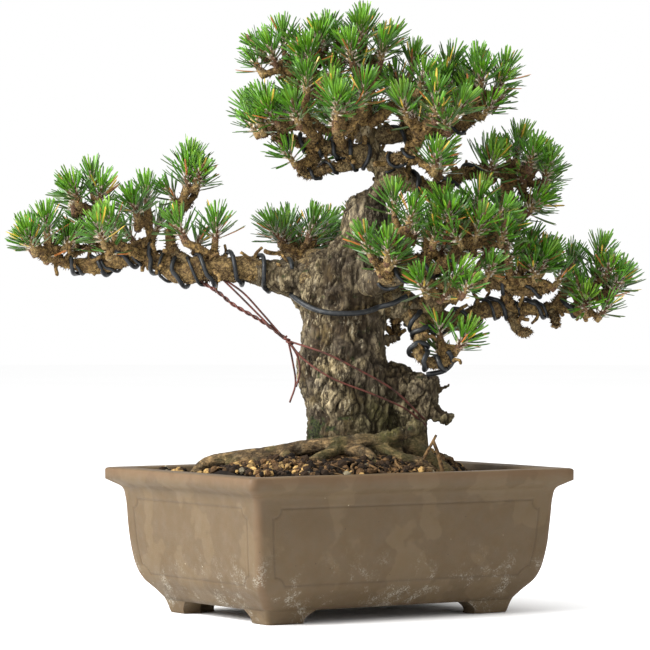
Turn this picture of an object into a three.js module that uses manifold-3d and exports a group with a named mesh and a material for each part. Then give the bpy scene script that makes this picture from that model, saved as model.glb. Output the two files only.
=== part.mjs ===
// A kotobuki Japanese black pine grown as a bonsai: a footed stoneware pot full of soil, a thick
// trunk with root flare, wired boughs, and tufts of short stiff needles in masses. Millimetres, +Z up.
import * as THREE from "three";
import { mergeVertices } from "three/addons/utils/BufferGeometryUtils.js";
import Module from "manifold-3d";

const wasm = await Module();
wasm.setup();

// Driving dimensions of the pot
const POT_LENGTH = 267;
const POT_WIDTH = 199;
const POT_HEIGHT = 101;
const FOOT_HEIGHT = 9;
const FLOOR_TOP = 18;
const CORNER_RADIUS = 5;
const CORNER_STEPS = 2;
const CORNER_TIGHTENING = 0.05;
const LEAST_CORNER = 3;
// Outside and inside of the pot's wall: how far in from the rim's edge, and the height
const OUTER_PROFILE = [[31.5, FOOT_HEIGHT], [25.5, 16.5], [20, 23], [16.5, 31], [13.6, 46], [12, 62],
  [10.6, 80], [8.8, 87], [4, 90.5], [0, 92.5], [0, 100], [1, POT_HEIGHT]];
const CAVITY_PROFILE = [[38, FLOOR_TOP], [31, 23], [26, 32], [21.5, 60], [19, 88], [17, 102]];
// Bracket feet: legs along the long and the short side, at the ground and where they meet the pot
const FOOT = {
  inset: 34, topInset: 31, top: 14, thick: 14,
  longLow: 29, longHigh: 44, shortLow: 20, shortHigh: 32,
};

// Driving dimensions of the soil
const CLEAR = 0.3;
const SOIL_PLATEAU = 110;
// The level ground ends at this share of the way from the trunk to the pot's wall
const PLATEAU_SHARE = 0.45;
const SOIL_EDGE = 98;
const SOIL_EDGE_SLOPE = 0.03;
const SOIL_LUMP = { height: 3.4, pitch: [20, 20, 20] };
const SOIL_RINGS = [1, 0.9, 0.79, 0.68, 0.56, 0.44, 0.32, 0.18];
const WALL_PIECES = 6;
const CAVITY_RIM = 4;

// The tree's widest side is turned away from the pot's long side. In its own frame a point is
// [across, depth, up], with depth growing towards the back.
const TREE_TURN = THREE.MathUtils.degToRad(-33);
const TRUNK_FOOT = [10, 0];

// Trunk rings: up, left edge, right edge, front, back
const TRUNK_SIDES = 14;
const TRUNK_RIDGE = 0.05;
const RING_SPACING = 16;
// Broad ribs and hollows of old bark, full size where the trunk is at least this thick
const RIB = { height: 2.8, pitch: [14, 14, 36], thick: 50 };
const TRUNK_RINGS = [
  [100, -34, 46, -36, 34], [112, -30, 42, -32, 30], [122, -26, 38, -29, 28], [140, -24, 36, -27, 26],
  [158, -27, 35, -27, 26], [174, -27, 34, -27, 26], [190, -25, 32, -26, 25], [208, -25, 33, -26, 25],
  [226, -26, 36, -25, 25], [244, -21, 38, -23, 24], [256, -8, 38, -21, 22], [266, 1, 36, -18, 19],
  [278, 4, 34, -16, 17], [288, 7, 33, -14, 15], [295, 16, 36, -10, 11], [304, 23, 39, -8, 9],
  [314, 24, 39, -7, 8], [326, 17, 30, -6, 7], [342, 14, 24, -5, 5], [358, 15, 21, -3.5, 3.5],
  [368, 16, 20, -2, 2],
];
// The ring from which the trunk is slim enough to carry masses of its own
const CARRYING_RING = 14;
// Swellings, the cut stub and the surface roots that are one wood with the trunk
const LOBE_SIDES = 5;
const LOBE_SPACING = 25;
const TRUNK_LOBES = [
  { path: [[22, 2, 168], [46, 0, 153], [54, 0, 130], [58, 0, 98]], thick: [13, 19, 17, 19] },
  { path: [[54, -6, 147], [70, -9, 141], [79, -11, 137]], thick: [11, 8, 6.5] },
  { path: [[-14, -12, 120], [-42, -20, 114], [-74, -24, 109], [-103, -24, 101]], thick: [11, 6.5, 5, 4] },
  { path: [[50, -22, 129], [17, -34, 121.5], [-8, -34, 119], [-30, -29, 117.5], [-46, -22, 115]],
    thick: [5, 4.6, 4.4, 4.4, 5] },
  { path: [[-12, 10, 118], [-40, 26, 110], [-66, 42, 102]], thick: [10, 6, 4.5] },
  { path: [[0, -18, 118], [4, -38, 111], [18, -52, 102]], thick: [10, 7, 5] },
  { path: [[36, -16, 118], [44, -36, 111], [58, -50, 98]], thick: [10, 6.5, 4.5] },
  { path: [[48, -4, 120], [72, -14, 110], [90, -24, 99]], thick: [11, 6, 4] },
  { path: [[30, 14, 118], [46, 38, 109], [60, 54, 99]], thick: [10, 6, 4.5] },
];

// The roots are cut off at this height, and by a plate wider than the tree
const ROOT_CUT = SOIL_EDGE - 2;
const CUT_REACH = 150;

// Boughs: the points each one passes through, and its radius at the trunk and at the tip
const LIMB_SIDES = 6;
const LIMB_SPACING = 11;
const STATION_SPACING = 4;
const KNOB = 0.13;
const BOUGHS = [
  { name: "bough_left", thick: [10.5, 3.2], path: [[-8, 0, 232], [-35, -2, 234], [-68, -6, 241],
    [-93, -9, 239], [-108, -9, 236], [-125, -5, 240], [-143, 0, 246], [-166, 2, 245], [-187, 0, 243],
    [-200, -3, 247]] },
  { name: "bough_left_back", thick: [5.5, 3], path: [[-6, 10, 246], [-24, 28, 249], [-34, 48, 251],
    [-40, 66, 252]] },
  { name: "bough_right", thick: [9.5, 3], path: [[24, 0, 222], [48, -4, 214], [70, -6, 204], [86, -6, 204],
    [100, -4, 211], [126, 0, 212], [144, 2, 212], [160, 2, 212], [173, 0, 209]] },
  { name: "bough_front_right", thick: [6.5, 3.4], path: [[18, -12, 228], [32, -38, 232],
    [46, -54, 237], [62, -58, 239], [80, -54, 242]] },
  { name: "bough_low_right", thick: [5.5, 2.8], path: [[46, -6, 212], [58, -18, 197], [55, -25, 182],
    [65, -25, 174], [79, -22, 176]] },
  { name: "bough_back_right", thick: [6.5, 3], path: [[22, 12, 236], [36, 40, 242], [52, 68, 247],
    [66, 92, 249]] },
  { name: "bough_upper_right", thick: [6.5, 2.8], path: [[28, 0, 299], [46, -6, 296], [68, -8, 295],
    [83, -5, 305], [101, 0, 307], [125, 4, 309]] },
  { name: "bough_crown_left", thick: [6.5, 3], path: [[27, 0, 310], [16, -6, 324], [2, -8, 328],
    [-16, -8, 328], [-34, -6, 330], [-47, -4, 332]] },
  { name: "bough_crown_front", thick: [5, 3], path: [[28, -2, 312], [37, -20, 315], [46, -36, 318],
    [52, -44, 322]] },
  { name: "bough_crown_right", thick: [5.5, 2.8], path: [[22, 2, 332], [45, 8, 334], [70, 12, 337],
    [86, 9, 340], [94, 5, 345]] },
  { name: "bough_crown_back", thick: [5, 2.8], path: [[20, 2, 330], [18, 24, 334], [14, 44, 337],
    [10, 60, 338]] },
  { name: "bough_crown_high", thick: [4.6, 2.6], path: [[18, 0, 344], [2, -2, 354], [-18, 2, 364],
    [-34, 6, 374]] },
];

// Training wires, wound where they were put on: the bough, the stretch of it, the turns and the radius
const SPIRAL_SIDES = 4;
const SPIRAL_STEPS = 6;
const SPIRAL_STATIONS = 3;
const KNOB_LIFT = 0.6;
const SPIRALS = [
  { name: "wire_left_bough", bough: "bough_left", from: 0.13, to: 0.93, turns: 8, radius: 2.1, start: 200 },
  { name: "wire_right_bough", bough: "bough_right", from: 0.3, to: 0.95, turns: 4, radius: 1.9, start: 30 },
  { name: "wire_upper_right", bough: "bough_upper_right", from: 0.14, to: 0.8, turns: 3, radius: 1.8,
    start: 120 },
  { name: "wire_low_right", bough: "bough_low_right", from: 0.16, to: 0.86, turns: 3, radius: 2, start: 60 },
];
const RIB_LIFT = 0.6;
const RING_WIRE = {
  radius: 2.1, start: -32, end: -338, steps: 22, low: 209, high: 217, centre: [4, 0], half: [29, 26],
};
const GUY_RADIUS = 0.9;
const GUY_SIDES = 4;
const GUY_SPACING = 16;
const GUY_STRANDS = [
  [[-97, -10, 236], [-92, -16, 227], [-72, -18, 214], [-46, -20, 197], [-35, -23, 190], [-8, -31, 181],
    [14, -31, 170], [38, -26, 156], [60, -12, 135]],
  [[-35, -23, 190], [-25, -25, 178], [-6, -31, 165], [24, -30, 153], [46, -23, 143], [61, -10, 131]],
  [[-35, -23, 190], [-32, -20, 176], [-30, -18, 160], [-34, -18, 147]],
];

// Tufts: a slim core on the shoot, given by distance along it and radius, and on each upper face of
// the core one needle, which stands for about eight real ones. It opens by the row it stands in.
const NEEDLE_LENGTH = 22;
const LEAST_LENGTH = 0.92;
const LENGTH_SPREAD = 0.16;
const TUFT_SIDES = 4;
const TUFT_CORE = { low: 2.8, lowRadius: 3.7, high: 7, highRadius: 3.3, tip: 10.5 };
const OPENING = { low: 80, middle: 52, top: 21 };
const OPENING_SPREAD = 8;
const TWIG_RADIUS = [2.3, 1.4];
const STEM_FLARE = 0.6;
// The fork of a mass: its share of the way from the limb to the tufts, how far it hangs below that,
// and how many stations the stem's foot lies nearer to the trunk
const FORK_SHARE = 0.55;
const FORK_SAG = 2;
const FOOT_BACK = 2;
// Side shoots: how far out and how much lower they stand, where they leave the leading twig, their lean
const SIDE_REACH = 15;
const LEAST_REACH = 0.8;
const REACH_SPREAD = 0.4;
const SIDE_DROP = 3;
const DROP_SPREAD = 5;
const SIDE_START = 0.45;
const SIDE_LEAN = 0.6;
const LEAN = 0.42;
const GOLDEN = THREE.MathUtils.degToRad(137.5);
const SPACE_MARGIN = 1.2;
const SHORTEST = 0.5;
const FIRST_SEED = 101;
const SEED_STEP = 17;

// Masses: the limb that carries it, the feet of its leading tufts, and the side shoots it grows
const MASSES = [
  { name: "needles_left_tip", limb: "bough_left", tufts: [[-204, -5, 256], [-211, 4, 252]], sides: 1 },
  { name: "needles_left_far_high", limb: "bough_left", tufts: [[-174, 16, 284]], sides: 2 },
  { name: "needles_left_far_low", limb: "bough_left", tufts: [[-155, -18, 260]], sides: 1 },
  { name: "needles_left_far_back", limb: "bough_left", tufts: [[-178, 34, 262], [-132, 44, 262]],
    sides: 1 },
  { name: "needles_left_middle_high", limb: "bough_left", tufts: [[-134, 10, 284]], sides: 1 },
  { name: "needles_left_spire", limb: "bough_left", tufts: [[-107, 12, 304], [-113, 16, 290]], sides: 1 },
  { name: "needles_left_near", limb: "bough_left", tufts: [[-84, -8, 259], [-106, -16, 259]], sides: 0 },
  { name: "needles_left_root", limb: "bough_left_back", tufts: [[-42, 24, 257], [-22, 26, 259]], sides: 0 },
  { name: "needles_left_behind", limb: "bough_left_back", tufts: [[-44, 72, 260], [-22, 78, 262]],
    sides: 2 },
  { name: "needles_crown_far_left", limb: "bough_crown_high", tufts: [[-53, -6, 384], [-43, 14, 395]],
    sides: 1 },
  { name: "needles_crown_high_left", limb: "bough_crown_high", tufts: [[-14, 8, 396], [-24, -20, 380]],
    sides: 1 },
  { name: "needles_crown_apex", limb: "trunk", tufts: [[18, 2, 398]], sides: 2 },
  { name: "needles_crown_high_front", limb: "trunk", tufts: [[28, -24, 380], [10, -30, 379]], sides: 0 },
  { name: "needles_crown_low_left", limb: "bough_crown_left", tufts: [[-59, -8, 347], [-42, -26, 344]],
    sides: 1 },
  { name: "needles_crown_front_left", limb: "bough_crown_left", tufts: [[-22, -42, 358], [-27, -40, 338]],
    sides: 0 },
  { name: "needles_crown_front", limb: "bough_crown_left", tufts: [[-2, -50, 348], [15, -50, 350]],
    sides: 1 },
  { name: "needles_crown_hanging", limb: "bough_crown_left", tufts: [[-32, -18, 312], [-26, 2, 310]],
    sides: 0 },
  { name: "needles_crown_high_right", limb: "trunk", tufts: [[50, 4, 379], [70, 14, 379], [55, -22, 364]],
    sides: 0 },
  { name: "needles_crown_far_right", limb: "bough_crown_right", tufts: [[96, -5, 372], [110, 4, 369]],
    sides: 2 },
  { name: "needles_crown_front_right", limb: "bough_crown_front",
    tufts: [[47, -48, 342], [64, -50, 346], [78, -46, 340]], sides: 0 },
  { name: "needles_crown_low_right", limb: "bough_crown_front", tufts: [[62, -40, 312]], sides: 1 },
  { name: "needles_crown_back_left", limb: "bough_crown_back", tufts: [[-28, 46, 352], [-46, 32, 346]],
    sides: 2 },
  { name: "needles_crown_back", limb: "bough_crown_back", tufts: [[8, 72, 350], [2, 56, 370]], sides: 2 },
  { name: "needles_crown_back_right", limb: "bough_crown_right", tufts: [[40, 48, 358], [70, 42, 352]],
    sides: 2 },
  { name: "needles_upper_right_near", limb: "bough_upper_right", tufts: [[99, -2, 312]], sides: 1 },
  { name: "needles_upper_right", limb: "bough_upper_right", tufts: [[126, 6, 320]], sides: 1 },
  { name: "needles_upper_right_tip", limb: "bough_upper_right", tufts: [[137, 10, 306], [143, 4, 288]],
    sides: 1 },
  { name: "needles_upper_right_low", limb: "bough_upper_right", tufts: [[130, -8, 277], [116, 14, 276]],
    sides: 0 },
  { name: "needles_front_high", limb: "bough_front_right", tufts: [[38, -50, 274]], sides: 1 },
  { name: "needles_front_low", limb: "bough_front_right", tufts: [[34, -62, 252], [24, -56, 254]],
    sides: 0 },
  { name: "needles_front_middle", limb: "bough_front_right", tufts: [[64, -58, 254], [66, -44, 272]],
    sides: 0 },
  { name: "needles_front_right", limb: "bough_front_right", tufts: [[84, -46, 268], [94, -44, 278]],
    sides: 1 },
  { name: "needles_front_under", limb: "bough_front_right", tufts: [[60, -66, 221], [74, -62, 226]],
    sides: 0 },
  { name: "needles_right_middle", limb: "bough_right", tufts: [[127, -6, 236], [140, -10, 232]], sides: 1 },
  { name: "needles_right_high", limb: "bough_right", tufts: [[164, 14, 240]], sides: 1 },
  { name: "needles_right_tip", limb: "bough_right",
    tufts: [[181, -4, 228], [186, -2, 240], [176, -10, 206]], sides: 1 },
  { name: "needles_low_right", limb: "bough_low_right", tufts: [[87, -22, 180]], sides: 1 },
  { name: "needles_back_right", limb: "bough_back_right", tufts: [[68, 98, 258], [84, 84, 262]],
    sides: 2 },
  { name: "needles_back", limb: "bough_back_right", tufts: [[36, 70, 258], [20, 52, 260]], sides: 2 },
];

// Small vector sums
const along = (a, b, t) => a.map((value, i) => value + (b[i] - value) * t);
const difference = (a, b) => a.map((value, i) => value - b[i]);
const offset = (a, direction, length) => a.map((value, i) => value + direction[i] * length);
const dot = (a, b) => a[0] * b[0] + a[1] * b[1] + a[2] * b[2];
const size = (a) => Math.sqrt(dot(a, a));
const unit = (a) => a.map((value) => value / size(a));
const cross = (a, b) => [
  a[1] * b[2] - a[2] * b[1],
  a[2] * b[0] - a[0] * b[2],
  a[0] * b[1] - a[1] * b[0],
];
const mean = (points) => points.reduce((sum, p) => offset(sum, p, 1 / points.length), [0, 0, 0]);
// The direction at an angle round a frame's own axis
function around({ side, up }, angle) {
  return side.map((value, i) => value * Math.cos(angle) + up[i] * Math.sin(angle));
}

// Seeded draws between 0 and 1
function seededDraw(seed) {
  let state = seed;
  return () => {
    state = (state * 1664525 + 1013904223) % 4294967296;
    return state / 4294967296;
  };
}

// Fixed random values from -1 to 1 on a lattice, by mixing the bits of the cell's numbers
function latticeValue(x, y, z) {
  let value = Math.imul(x, 73856093) ^ Math.imul(y, 19349663) ^ Math.imul(z, 83492791);
  value = Math.imul(value ^ (value >>> 15), 2246822519);
  value = Math.imul(value ^ (value >>> 13), 3266489917);
  return 2 * ((value ^ (value >>> 16)) >>> 0) / 4294967295 - 1;
}

// Smooth noise between the lattice's values, one cell to each pitch
function softNoise(place, pitch) {
  const scaled = place.map((value, i) => value / pitch[i]);
  const cell = scaled.map(Math.floor);
  const share = scaled.map((value, i) => THREE.MathUtils.smoothstep(value - cell[i], 0, 1));
  let total = 0;
  for (let corner = 0; corner < 8; corner += 1) {
    const step = [corner & 1, (corner >> 1) & 1, corner >> 2];
    const weight = share.reduce((product, value, i) => product * (step[i] ? value : 1 - value), 1);
    total += weight * latticeValue(cell[0] + step[0], cell[1] + step[1], cell[2] + step[2]);
  }
  return total;
}

// A closed body through rings of equal length, each end closed by a fan round its middle
function loft(rings) {
  const sides = rings[0].length;
  const points = [...rings.flat(), mean(rings[0]), mean(rings[rings.length - 1])];
  const low = points.length - 2;
  const top = (rings.length - 1) * sides;
  const faces = [];
  for (let side = 0; side < sides; side += 1) {
    const next = (side + 1) % sides;
    for (let row = 0; row < rings.length - 1; row += 1) {
      const a = row * sides;
      faces.push(a + side, a + next, a + sides + next, a + side, a + sides + next, a + sides + side);
    }
    faces.push(low, next, side, low + 1, top + side, top + next);
  }
  return indexed(points, faces);
}

// A geometry from its points and the corners of its triangles
function indexed(points, triangles) {
  const geometry = new THREE.BufferGeometry();
  geometry.setAttribute("position", new THREE.Float32BufferAttribute(points.flat(), 3));
  geometry.setIndex(triangles);
  return geometry;
}

// From a three.js geometry to a solid that can be joined and cut, and back
function solidOf(geometry) {
  const plain = mergeVertices(geometry, 1e-5);
  return new wasm.Manifold(new wasm.Mesh({
    numProp: 3,
    vertProperties: new Float32Array(plain.attributes.position.array),
    triVerts: new Uint32Array(plain.index.array),
  }));
}

function geometryOf(solid) {
  const mesh = solid.getMesh();
  const geometry = new THREE.BufferGeometry();
  geometry.setAttribute("position", new THREE.BufferAttribute(mesh.vertProperties, 3));
  geometry.setIndex(new THREE.BufferAttribute(mesh.triVerts, 1));
  return geometry;
}

// The largest body of a cut solid, without the scraps
function mainBody(solid) {
  const bodies = solid.decompose();
  return bodies.reduce((best, body) => (body.volume() > best.volume() ? body : best));
}

// A ring of the pot: a rectangle with rounded corners, inset from the rim's edge
function potRing(inset, up) {
  const radius = Math.max(CORNER_RADIUS - inset * CORNER_TIGHTENING, LEAST_CORNER);
  const half = [POT_LENGTH / 2 - inset - radius, POT_WIDTH / 2 - inset - radius];
  const corners = [[1, 1], [-1, 1], [-1, -1], [1, -1]];
  return corners.flatMap(([sx, sy], corner) => Array.from({ length: CORNER_STEPS + 1 }, (_, step) => {
    const angle = (corner + step / CORNER_STEPS) * Math.PI / 2;
    return [sx * half[0] + radius * Math.cos(angle), sy * half[1] + radius * Math.sin(angle), up];
  }));
}

// A bracket foot at one corner: two tapering legs that meet at the corner
function potFoot(sx, sy) {
  const leg = (longLow, longHigh, shortLow, shortHigh) => {
    const level = (inset, long, short, up) => {
      const x = POT_LENGTH / 2 - inset;
      const y = POT_WIDTH / 2 - inset;
      const ring = [[x - long, y - short, up], [x, y - short, up], [x, y, up], [x - long, y, up]];
      const placed = ring.map((p) => [p[0] * sx, p[1] * sy, p[2]]);
      return sx * sy > 0 ? placed : placed.reverse();
    };
    const ground = level(FOOT.inset, longLow, shortLow, 0);
    return solidOf(loft([ground, level(FOOT.topInset, longHigh, shortHigh, FOOT.top)]));
  };
  const longLeg = leg(FOOT.longLow, FOOT.longHigh, FOOT.thick, FOOT.thick);
  return longLeg.add(leg(FOOT.thick, FOOT.thick, FOOT.shortLow, FOOT.shortHigh));
}

function makePot() {
  const outside = solidOf(loft(OUTER_PROFILE.map(([inset, up]) => potRing(inset, up))));
  const cavity = solidOf(loft(CAVITY_PROFILE.map(([inset, up]) => potRing(inset, up))));
  let pot = outside.subtract(cavity);
  for (const [sx, sy] of [[1, 1], [-1, 1], [-1, -1], [1, -1]]) {
    pot = pot.add(potFoot(sx, sy));
  }
  return geometryOf(pot);
}

// The top of the soil: lumpy, level round the trunk, then falling to the rim, lower on the right
const MOUND_CENTRE = [TRUNK_FOOT[0] * Math.cos(TREE_TURN), TRUNK_FOOT[0] * Math.sin(TREE_TURN)];
const RIM_INSET = CAVITY_PROFILE[CAVITY_RIM][0] + CLEAR;
const SOIL_HALF = [POT_LENGTH / 2 - RIM_INSET, POT_WIDTH / 2 - RIM_INSET];
function soilTop(x, y) {
  const reach = Math.hypot((x - MOUND_CENTRE[0]) / SOIL_HALF[0], (y - MOUND_CENTRE[1]) / SOIL_HALF[1]);
  const fall = THREE.MathUtils.smoothstep(reach, PLATEAU_SHARE, 1);
  const lump = softNoise([x, y, 0], SOIL_LUMP.pitch);
  const level = THREE.MathUtils.lerp(SOIL_PLATEAU, SOIL_EDGE - SOIL_EDGE_SLOPE * x, fall);
  return level + SOIL_LUMP.height * lump;
}

// A ring of the pot with more points along its four walls
function soilRing(inset, up) {
  const ring = potRing(inset, up);
  return ring.flatMap((point, i) => {
    const next = ring[(i + 1) % ring.length];
    const pieces = (i + 1) % (CORNER_STEPS + 1) === 0 ? WALL_PIECES : 1;
    return Array.from({ length: pieces }, (_, step) => along(point, next, step / pieces));
  });
}

// The soil fills the cavity, and lift raises its top to leave a clearance above it
function makeSoil(lift) {
  const sides = CAVITY_PROFILE.slice(0, -1).map(([inset, up]) => soilRing(inset + CLEAR, up + CLEAR));
  const edge = soilRing(RIM_INSET, 0);
  const rings = SOIL_RINGS.map((share) => edge.map(([x, y]) => {
    const px = MOUND_CENTRE[0] + (x - MOUND_CENTRE[0]) * share;
    const py = MOUND_CENTRE[1] + (y - MOUND_CENTRE[1]) * share;
    return [px, py, soilTop(px, py) + lift];
  }));
  return loft([...sides, ...rings]);
}

// A limb's centre line, with its radius at each station
function limbLine(path, thick, spacing) {
  const places = path.map((p) => new THREE.Vector3(...p));
  const curve = new THREE.CatmullRomCurve3(places, false, "centripetal");
  const stations = Math.max(4, Math.round(curve.getLength() / spacing));
  return Array.from({ length: stations + 1 }, (_, i) => {
    const t = i / stations;
    const place = t * (thick.length - 1);
    const first = Math.min(Math.floor(place), thick.length - 2);
    return {
      point: curve.getPointAt(t).toArray(),
      radius: thick[first] + (thick[first + 1] - thick[first]) * (place - first),
    };
  });
}

// Two directions square to the line at each station, carried along without twist
function lineFrames(line) {
  const last = line.length - 1;
  const tangent = (i) => unit(difference(line[Math.min(i + 1, last)].point, line[Math.max(i - 1, 0)].point));
  const first = tangent(0);
  let side = unit(cross(first, Math.abs(first[2]) > 0.9 ? [1, 0, 0] : [0, 0, 1]));
  return line.map((_, i) => {
    const ahead = tangent(i);
    side = unit(offset(side, ahead, -dot(side, ahead)));
    return { side, up: cross(ahead, side), ahead };
  });
}

// A round limb along its line. Knobs swell it where old needles and twigs sat, and grow adds a clearance.
function limb(line, sides, knob, grow) {
  const frames = lineFrames(line);
  const rings = line.map(({ point, radius }, i) => Array.from({ length: sides }, (_, k) => {
    const angle = 2 * Math.PI * k / sides;
    const swell = 1 + knob * Math.sin(2.1 * i + 1.3 * k) * Math.sin(0.9 * i);
    const reach = radius * swell + grow;
    const shift = grow > 0 && i === line.length - 1 ? grow : 0;
    return offset(offset(point, around(frames[i], angle), reach), frames[i].ahead, shift);
  }));
  return loft(rings);
}

// The trunk's rings and even ones between them, each with its place in the list of rings
function trunkLevels() {
  return TRUNK_RINGS.flatMap((ring, i) => {
    const next = TRUNK_RINGS[i + 1] ?? ring;
    const pieces = Math.max(1, Math.ceil((next[0] - ring[0]) / RING_SPACING));
    return Array.from({ length: pieces }, (_, step) => {
      return { ring: along(ring, next, step / pieces), place: i + step / pieces };
    });
  });
}

function trunkSolid(grow) {
  const last = TRUNK_RINGS.length - 1;
  const rings = trunkLevels().map(({ ring: [up, left, right, front, back], place }) => {
    const level = up + (place === last ? grow : 0);
    const rib = RIB.height * Math.min(1, (right - left) / RIB.thick);
    return Array.from({ length: TRUNK_SIDES }, (_, k) => {
      const angle = 2 * Math.PI * k / TRUNK_SIDES;
      const ridge = 1 + TRUNK_RIDGE * Math.sin(3 * angle + 0.6 * place);
      const x = (left + right) / 2 + (right - left) / 2 * ridge * Math.cos(angle);
      const y = (front + back) / 2 + (back - front) / 2 * ridge * Math.sin(angle);
      const rise = rib * softNoise([x, y, up], RIB.pitch) + grow;
      return [x + rise * Math.cos(angle), y + rise * Math.sin(angle), level];
    });
  });
  let solid = solidOf(loft(rings));
  for (const lobe of TRUNK_LOBES) {
    solid = solid.add(solidOf(limb(limbLine(lobe.path, lobe.thick, LOBE_SPACING), LOBE_SIDES, 0, grow)));
  }
  return solid;
}

// The trunk stands on the soil with a flat cut under it, and its surface roots follow the mound
function makeTrunk(grow) {
  const ground = makeSoil(CLEAR);
  ground.rotateZ(-TREE_TURN);
  const corners = [[-1, -1], [1, -1], [1, 1], [-1, 1]];
  const plate = (up) => corners.map(([x, y]) => [x * CUT_REACH, y * CUT_REACH, up]);
  const under = solidOf(loft([plate(0), plate(ROOT_CUT)]));
  return mainBody(trunkSolid(grow).subtract(solidOf(ground)).subtract(under));
}

// A wire wound round a bough: a helix just outside its bark
function spiralLine(bough, spiral) {
  const line = limbLine(bough.path, bough.thick, SPIRAL_STATIONS);
  const frames = lineFrames(line);
  const steps = spiral.turns * SPIRAL_STEPS;
  const chord = Math.cos(Math.PI / SPIRAL_STEPS);
  return Array.from({ length: steps + 1 }, (_, i) => {
    const t = i / steps;
    const station = Math.round((spiral.from + (spiral.to - spiral.from) * t) * (line.length - 1));
    const angle = THREE.MathUtils.degToRad(spiral.start) + 2 * Math.PI * spiral.turns * t;
    const { point, radius } = line[station];
    const reach = (radius * (1 + KNOB * KNOB_LIFT) + spiral.radius + CLEAR) / chord;
    return { point: offset(point, around(frames[station], angle), reach), radius: spiral.radius };
  });
}

// The anchor wire passes round the trunk below the left bough, and both ends meet the right bough
function ringLine() {
  const { start, end, steps } = RING_WIRE;
  const bark = RIB.height * RIB_LIFT + CLEAR;
  const reach = RING_WIRE.half.map((half) => half * (1 + TRUNK_RIDGE) + RING_WIRE.radius + bark);
  return Array.from({ length: steps + 1 }, (_, i) => {
    const angle = THREE.MathUtils.degToRad(THREE.MathUtils.lerp(start, end, i / steps));
    const rise = (1 - Math.cos(angle + Math.PI / 2)) / 2;
    return {
      point: [
        RING_WIRE.centre[0] + reach[0] * Math.cos(angle),
        RING_WIRE.centre[1] + reach[1] * Math.sin(angle),
        THREE.MathUtils.lerp(RING_WIRE.low, RING_WIRE.high, rise),
      ],
      radius: RING_WIRE.radius,
    };
  });
}

// Where a mass's stem leaves its limb: the nearest point of the centre line to the first tuft,
// moved back towards the limb's root
function stemFoot(line, target) {
  const distances = line.map(({ point }) => size(difference(point, target)));
  const nearest = distances.indexOf(Math.min(...distances));
  return line[Math.max(nearest - FOOT_BACK, 0)].point;
}

// The shoots of one mass by the seeded rule: a fork on the stem, a twig to each leading tuft, and
// side shoots set round the leading ones at the golden angle
function massShoots(mass, foot, seed) {
  const draw = seededDraw(seed);
  const fork = offset(along(foot, mean(mass.tufts), FORK_SHARE), [0, 0, 1], -FORK_SAG);
  const shoots = mass.tufts.map((base) => {
    const ahead = unit(difference(base, fork));
    return { from: fork, base, axis: unit(offset([0, 0, 1 - LEAN], ahead, LEAN)) };
  });
  for (let k = 0; k < mass.sides; k += 1) {
    const lead = shoots[k % mass.tufts.length];
    const angle = GOLDEN * (k + 1) + 2 * Math.PI * draw();
    const reach = SIDE_REACH * (LEAST_REACH + REACH_SPREAD * draw());
    const out = [Math.cos(angle), Math.sin(angle), 0];
    const base = offset(offset(lead.base, out, reach), [0, 0, 1], -SIDE_DROP - DROP_SPREAD * draw());
    const from = along(lead.from, lead.base, SIDE_START);
    shoots.push({ from, base, axis: unit(offset([0, 0, 1], out, SIDE_LEAN)) });
  }
  for (const shoot of shoots) {
    shoot.turn = 2 * Math.PI * draw();
    shoot.heart = offset(shoot.base, shoot.axis, TUFT_CORE.high);
  }
  return { fork, shoots, draw };
}

// How far a needle may reach before it is nearer to another shoot than to its own
function roomFor(root, ahead, own, others) {
  return others.reduce((room, other) => {
    const between = difference(other, own);
    const apart = size(between);
    const towards = dot(ahead, between) / apart;
    const start = dot(difference(root, own), between) / apart;
    return towards > 0 ? Math.min(room, (apart / 2 - SPACE_MARGIN - start) / towards) : room;
  }, Infinity);
}

// The twig and core of a tuft as corners and faces, each upper face with the opening of its needle
function tuftBody(shoot, grow) {
  const reaches = [TUFT_CORE.low, TUFT_CORE.high, TUFT_CORE.tip + grow];
  const path = [shoot.from, shoot.base, ...reaches.map((reach) => offset(shoot.base, shoot.axis, reach))];
  const frames = lineFrames(path.map((point) => ({ point })));
  const radii = [...TWIG_RADIUS, TUFT_CORE.lowRadius, TUFT_CORE.highRadius];
  const corners = radii.flatMap((radius, row) => Array.from({ length: TUFT_SIDES }, (_, k) => {
    const angle = shoot.turn + 2 * Math.PI * (k + (row === 3 ? 0.5 : 0)) / TUFT_SIDES;
    return offset(path[row], around(frames[row], angle), radius + grow);
  }));
  const tip = corners.push(path[4]) - 1;
  const faces = [];
  for (let k = 0; k < TUFT_SIDES; k += 1) {
    const next = (k + 1) % TUFT_SIDES;
    const [low, high] = [2 * TUFT_SIDES, 3 * TUFT_SIDES];
    for (const row of [0, TUFT_SIDES]) {
      faces.push({ ring: [row + k, row + next, row + TUFT_SIDES + next] });
      faces.push({ ring: [row + k, row + TUFT_SIDES + next, row + TUFT_SIDES + k] });
    }
    faces.push({ ring: [low + k, low + next, high + k], open: OPENING.low });
    faces.push({ ring: [low + next, high + next, high + k], open: OPENING.middle });
    faces.push({ ring: [high + k, high + next, tip], open: OPENING.top });
    if (k > 1) {
      faces.push({ ring: [0, k, k - 1] });
    }
  }
  return { corners, faces };
}

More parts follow.
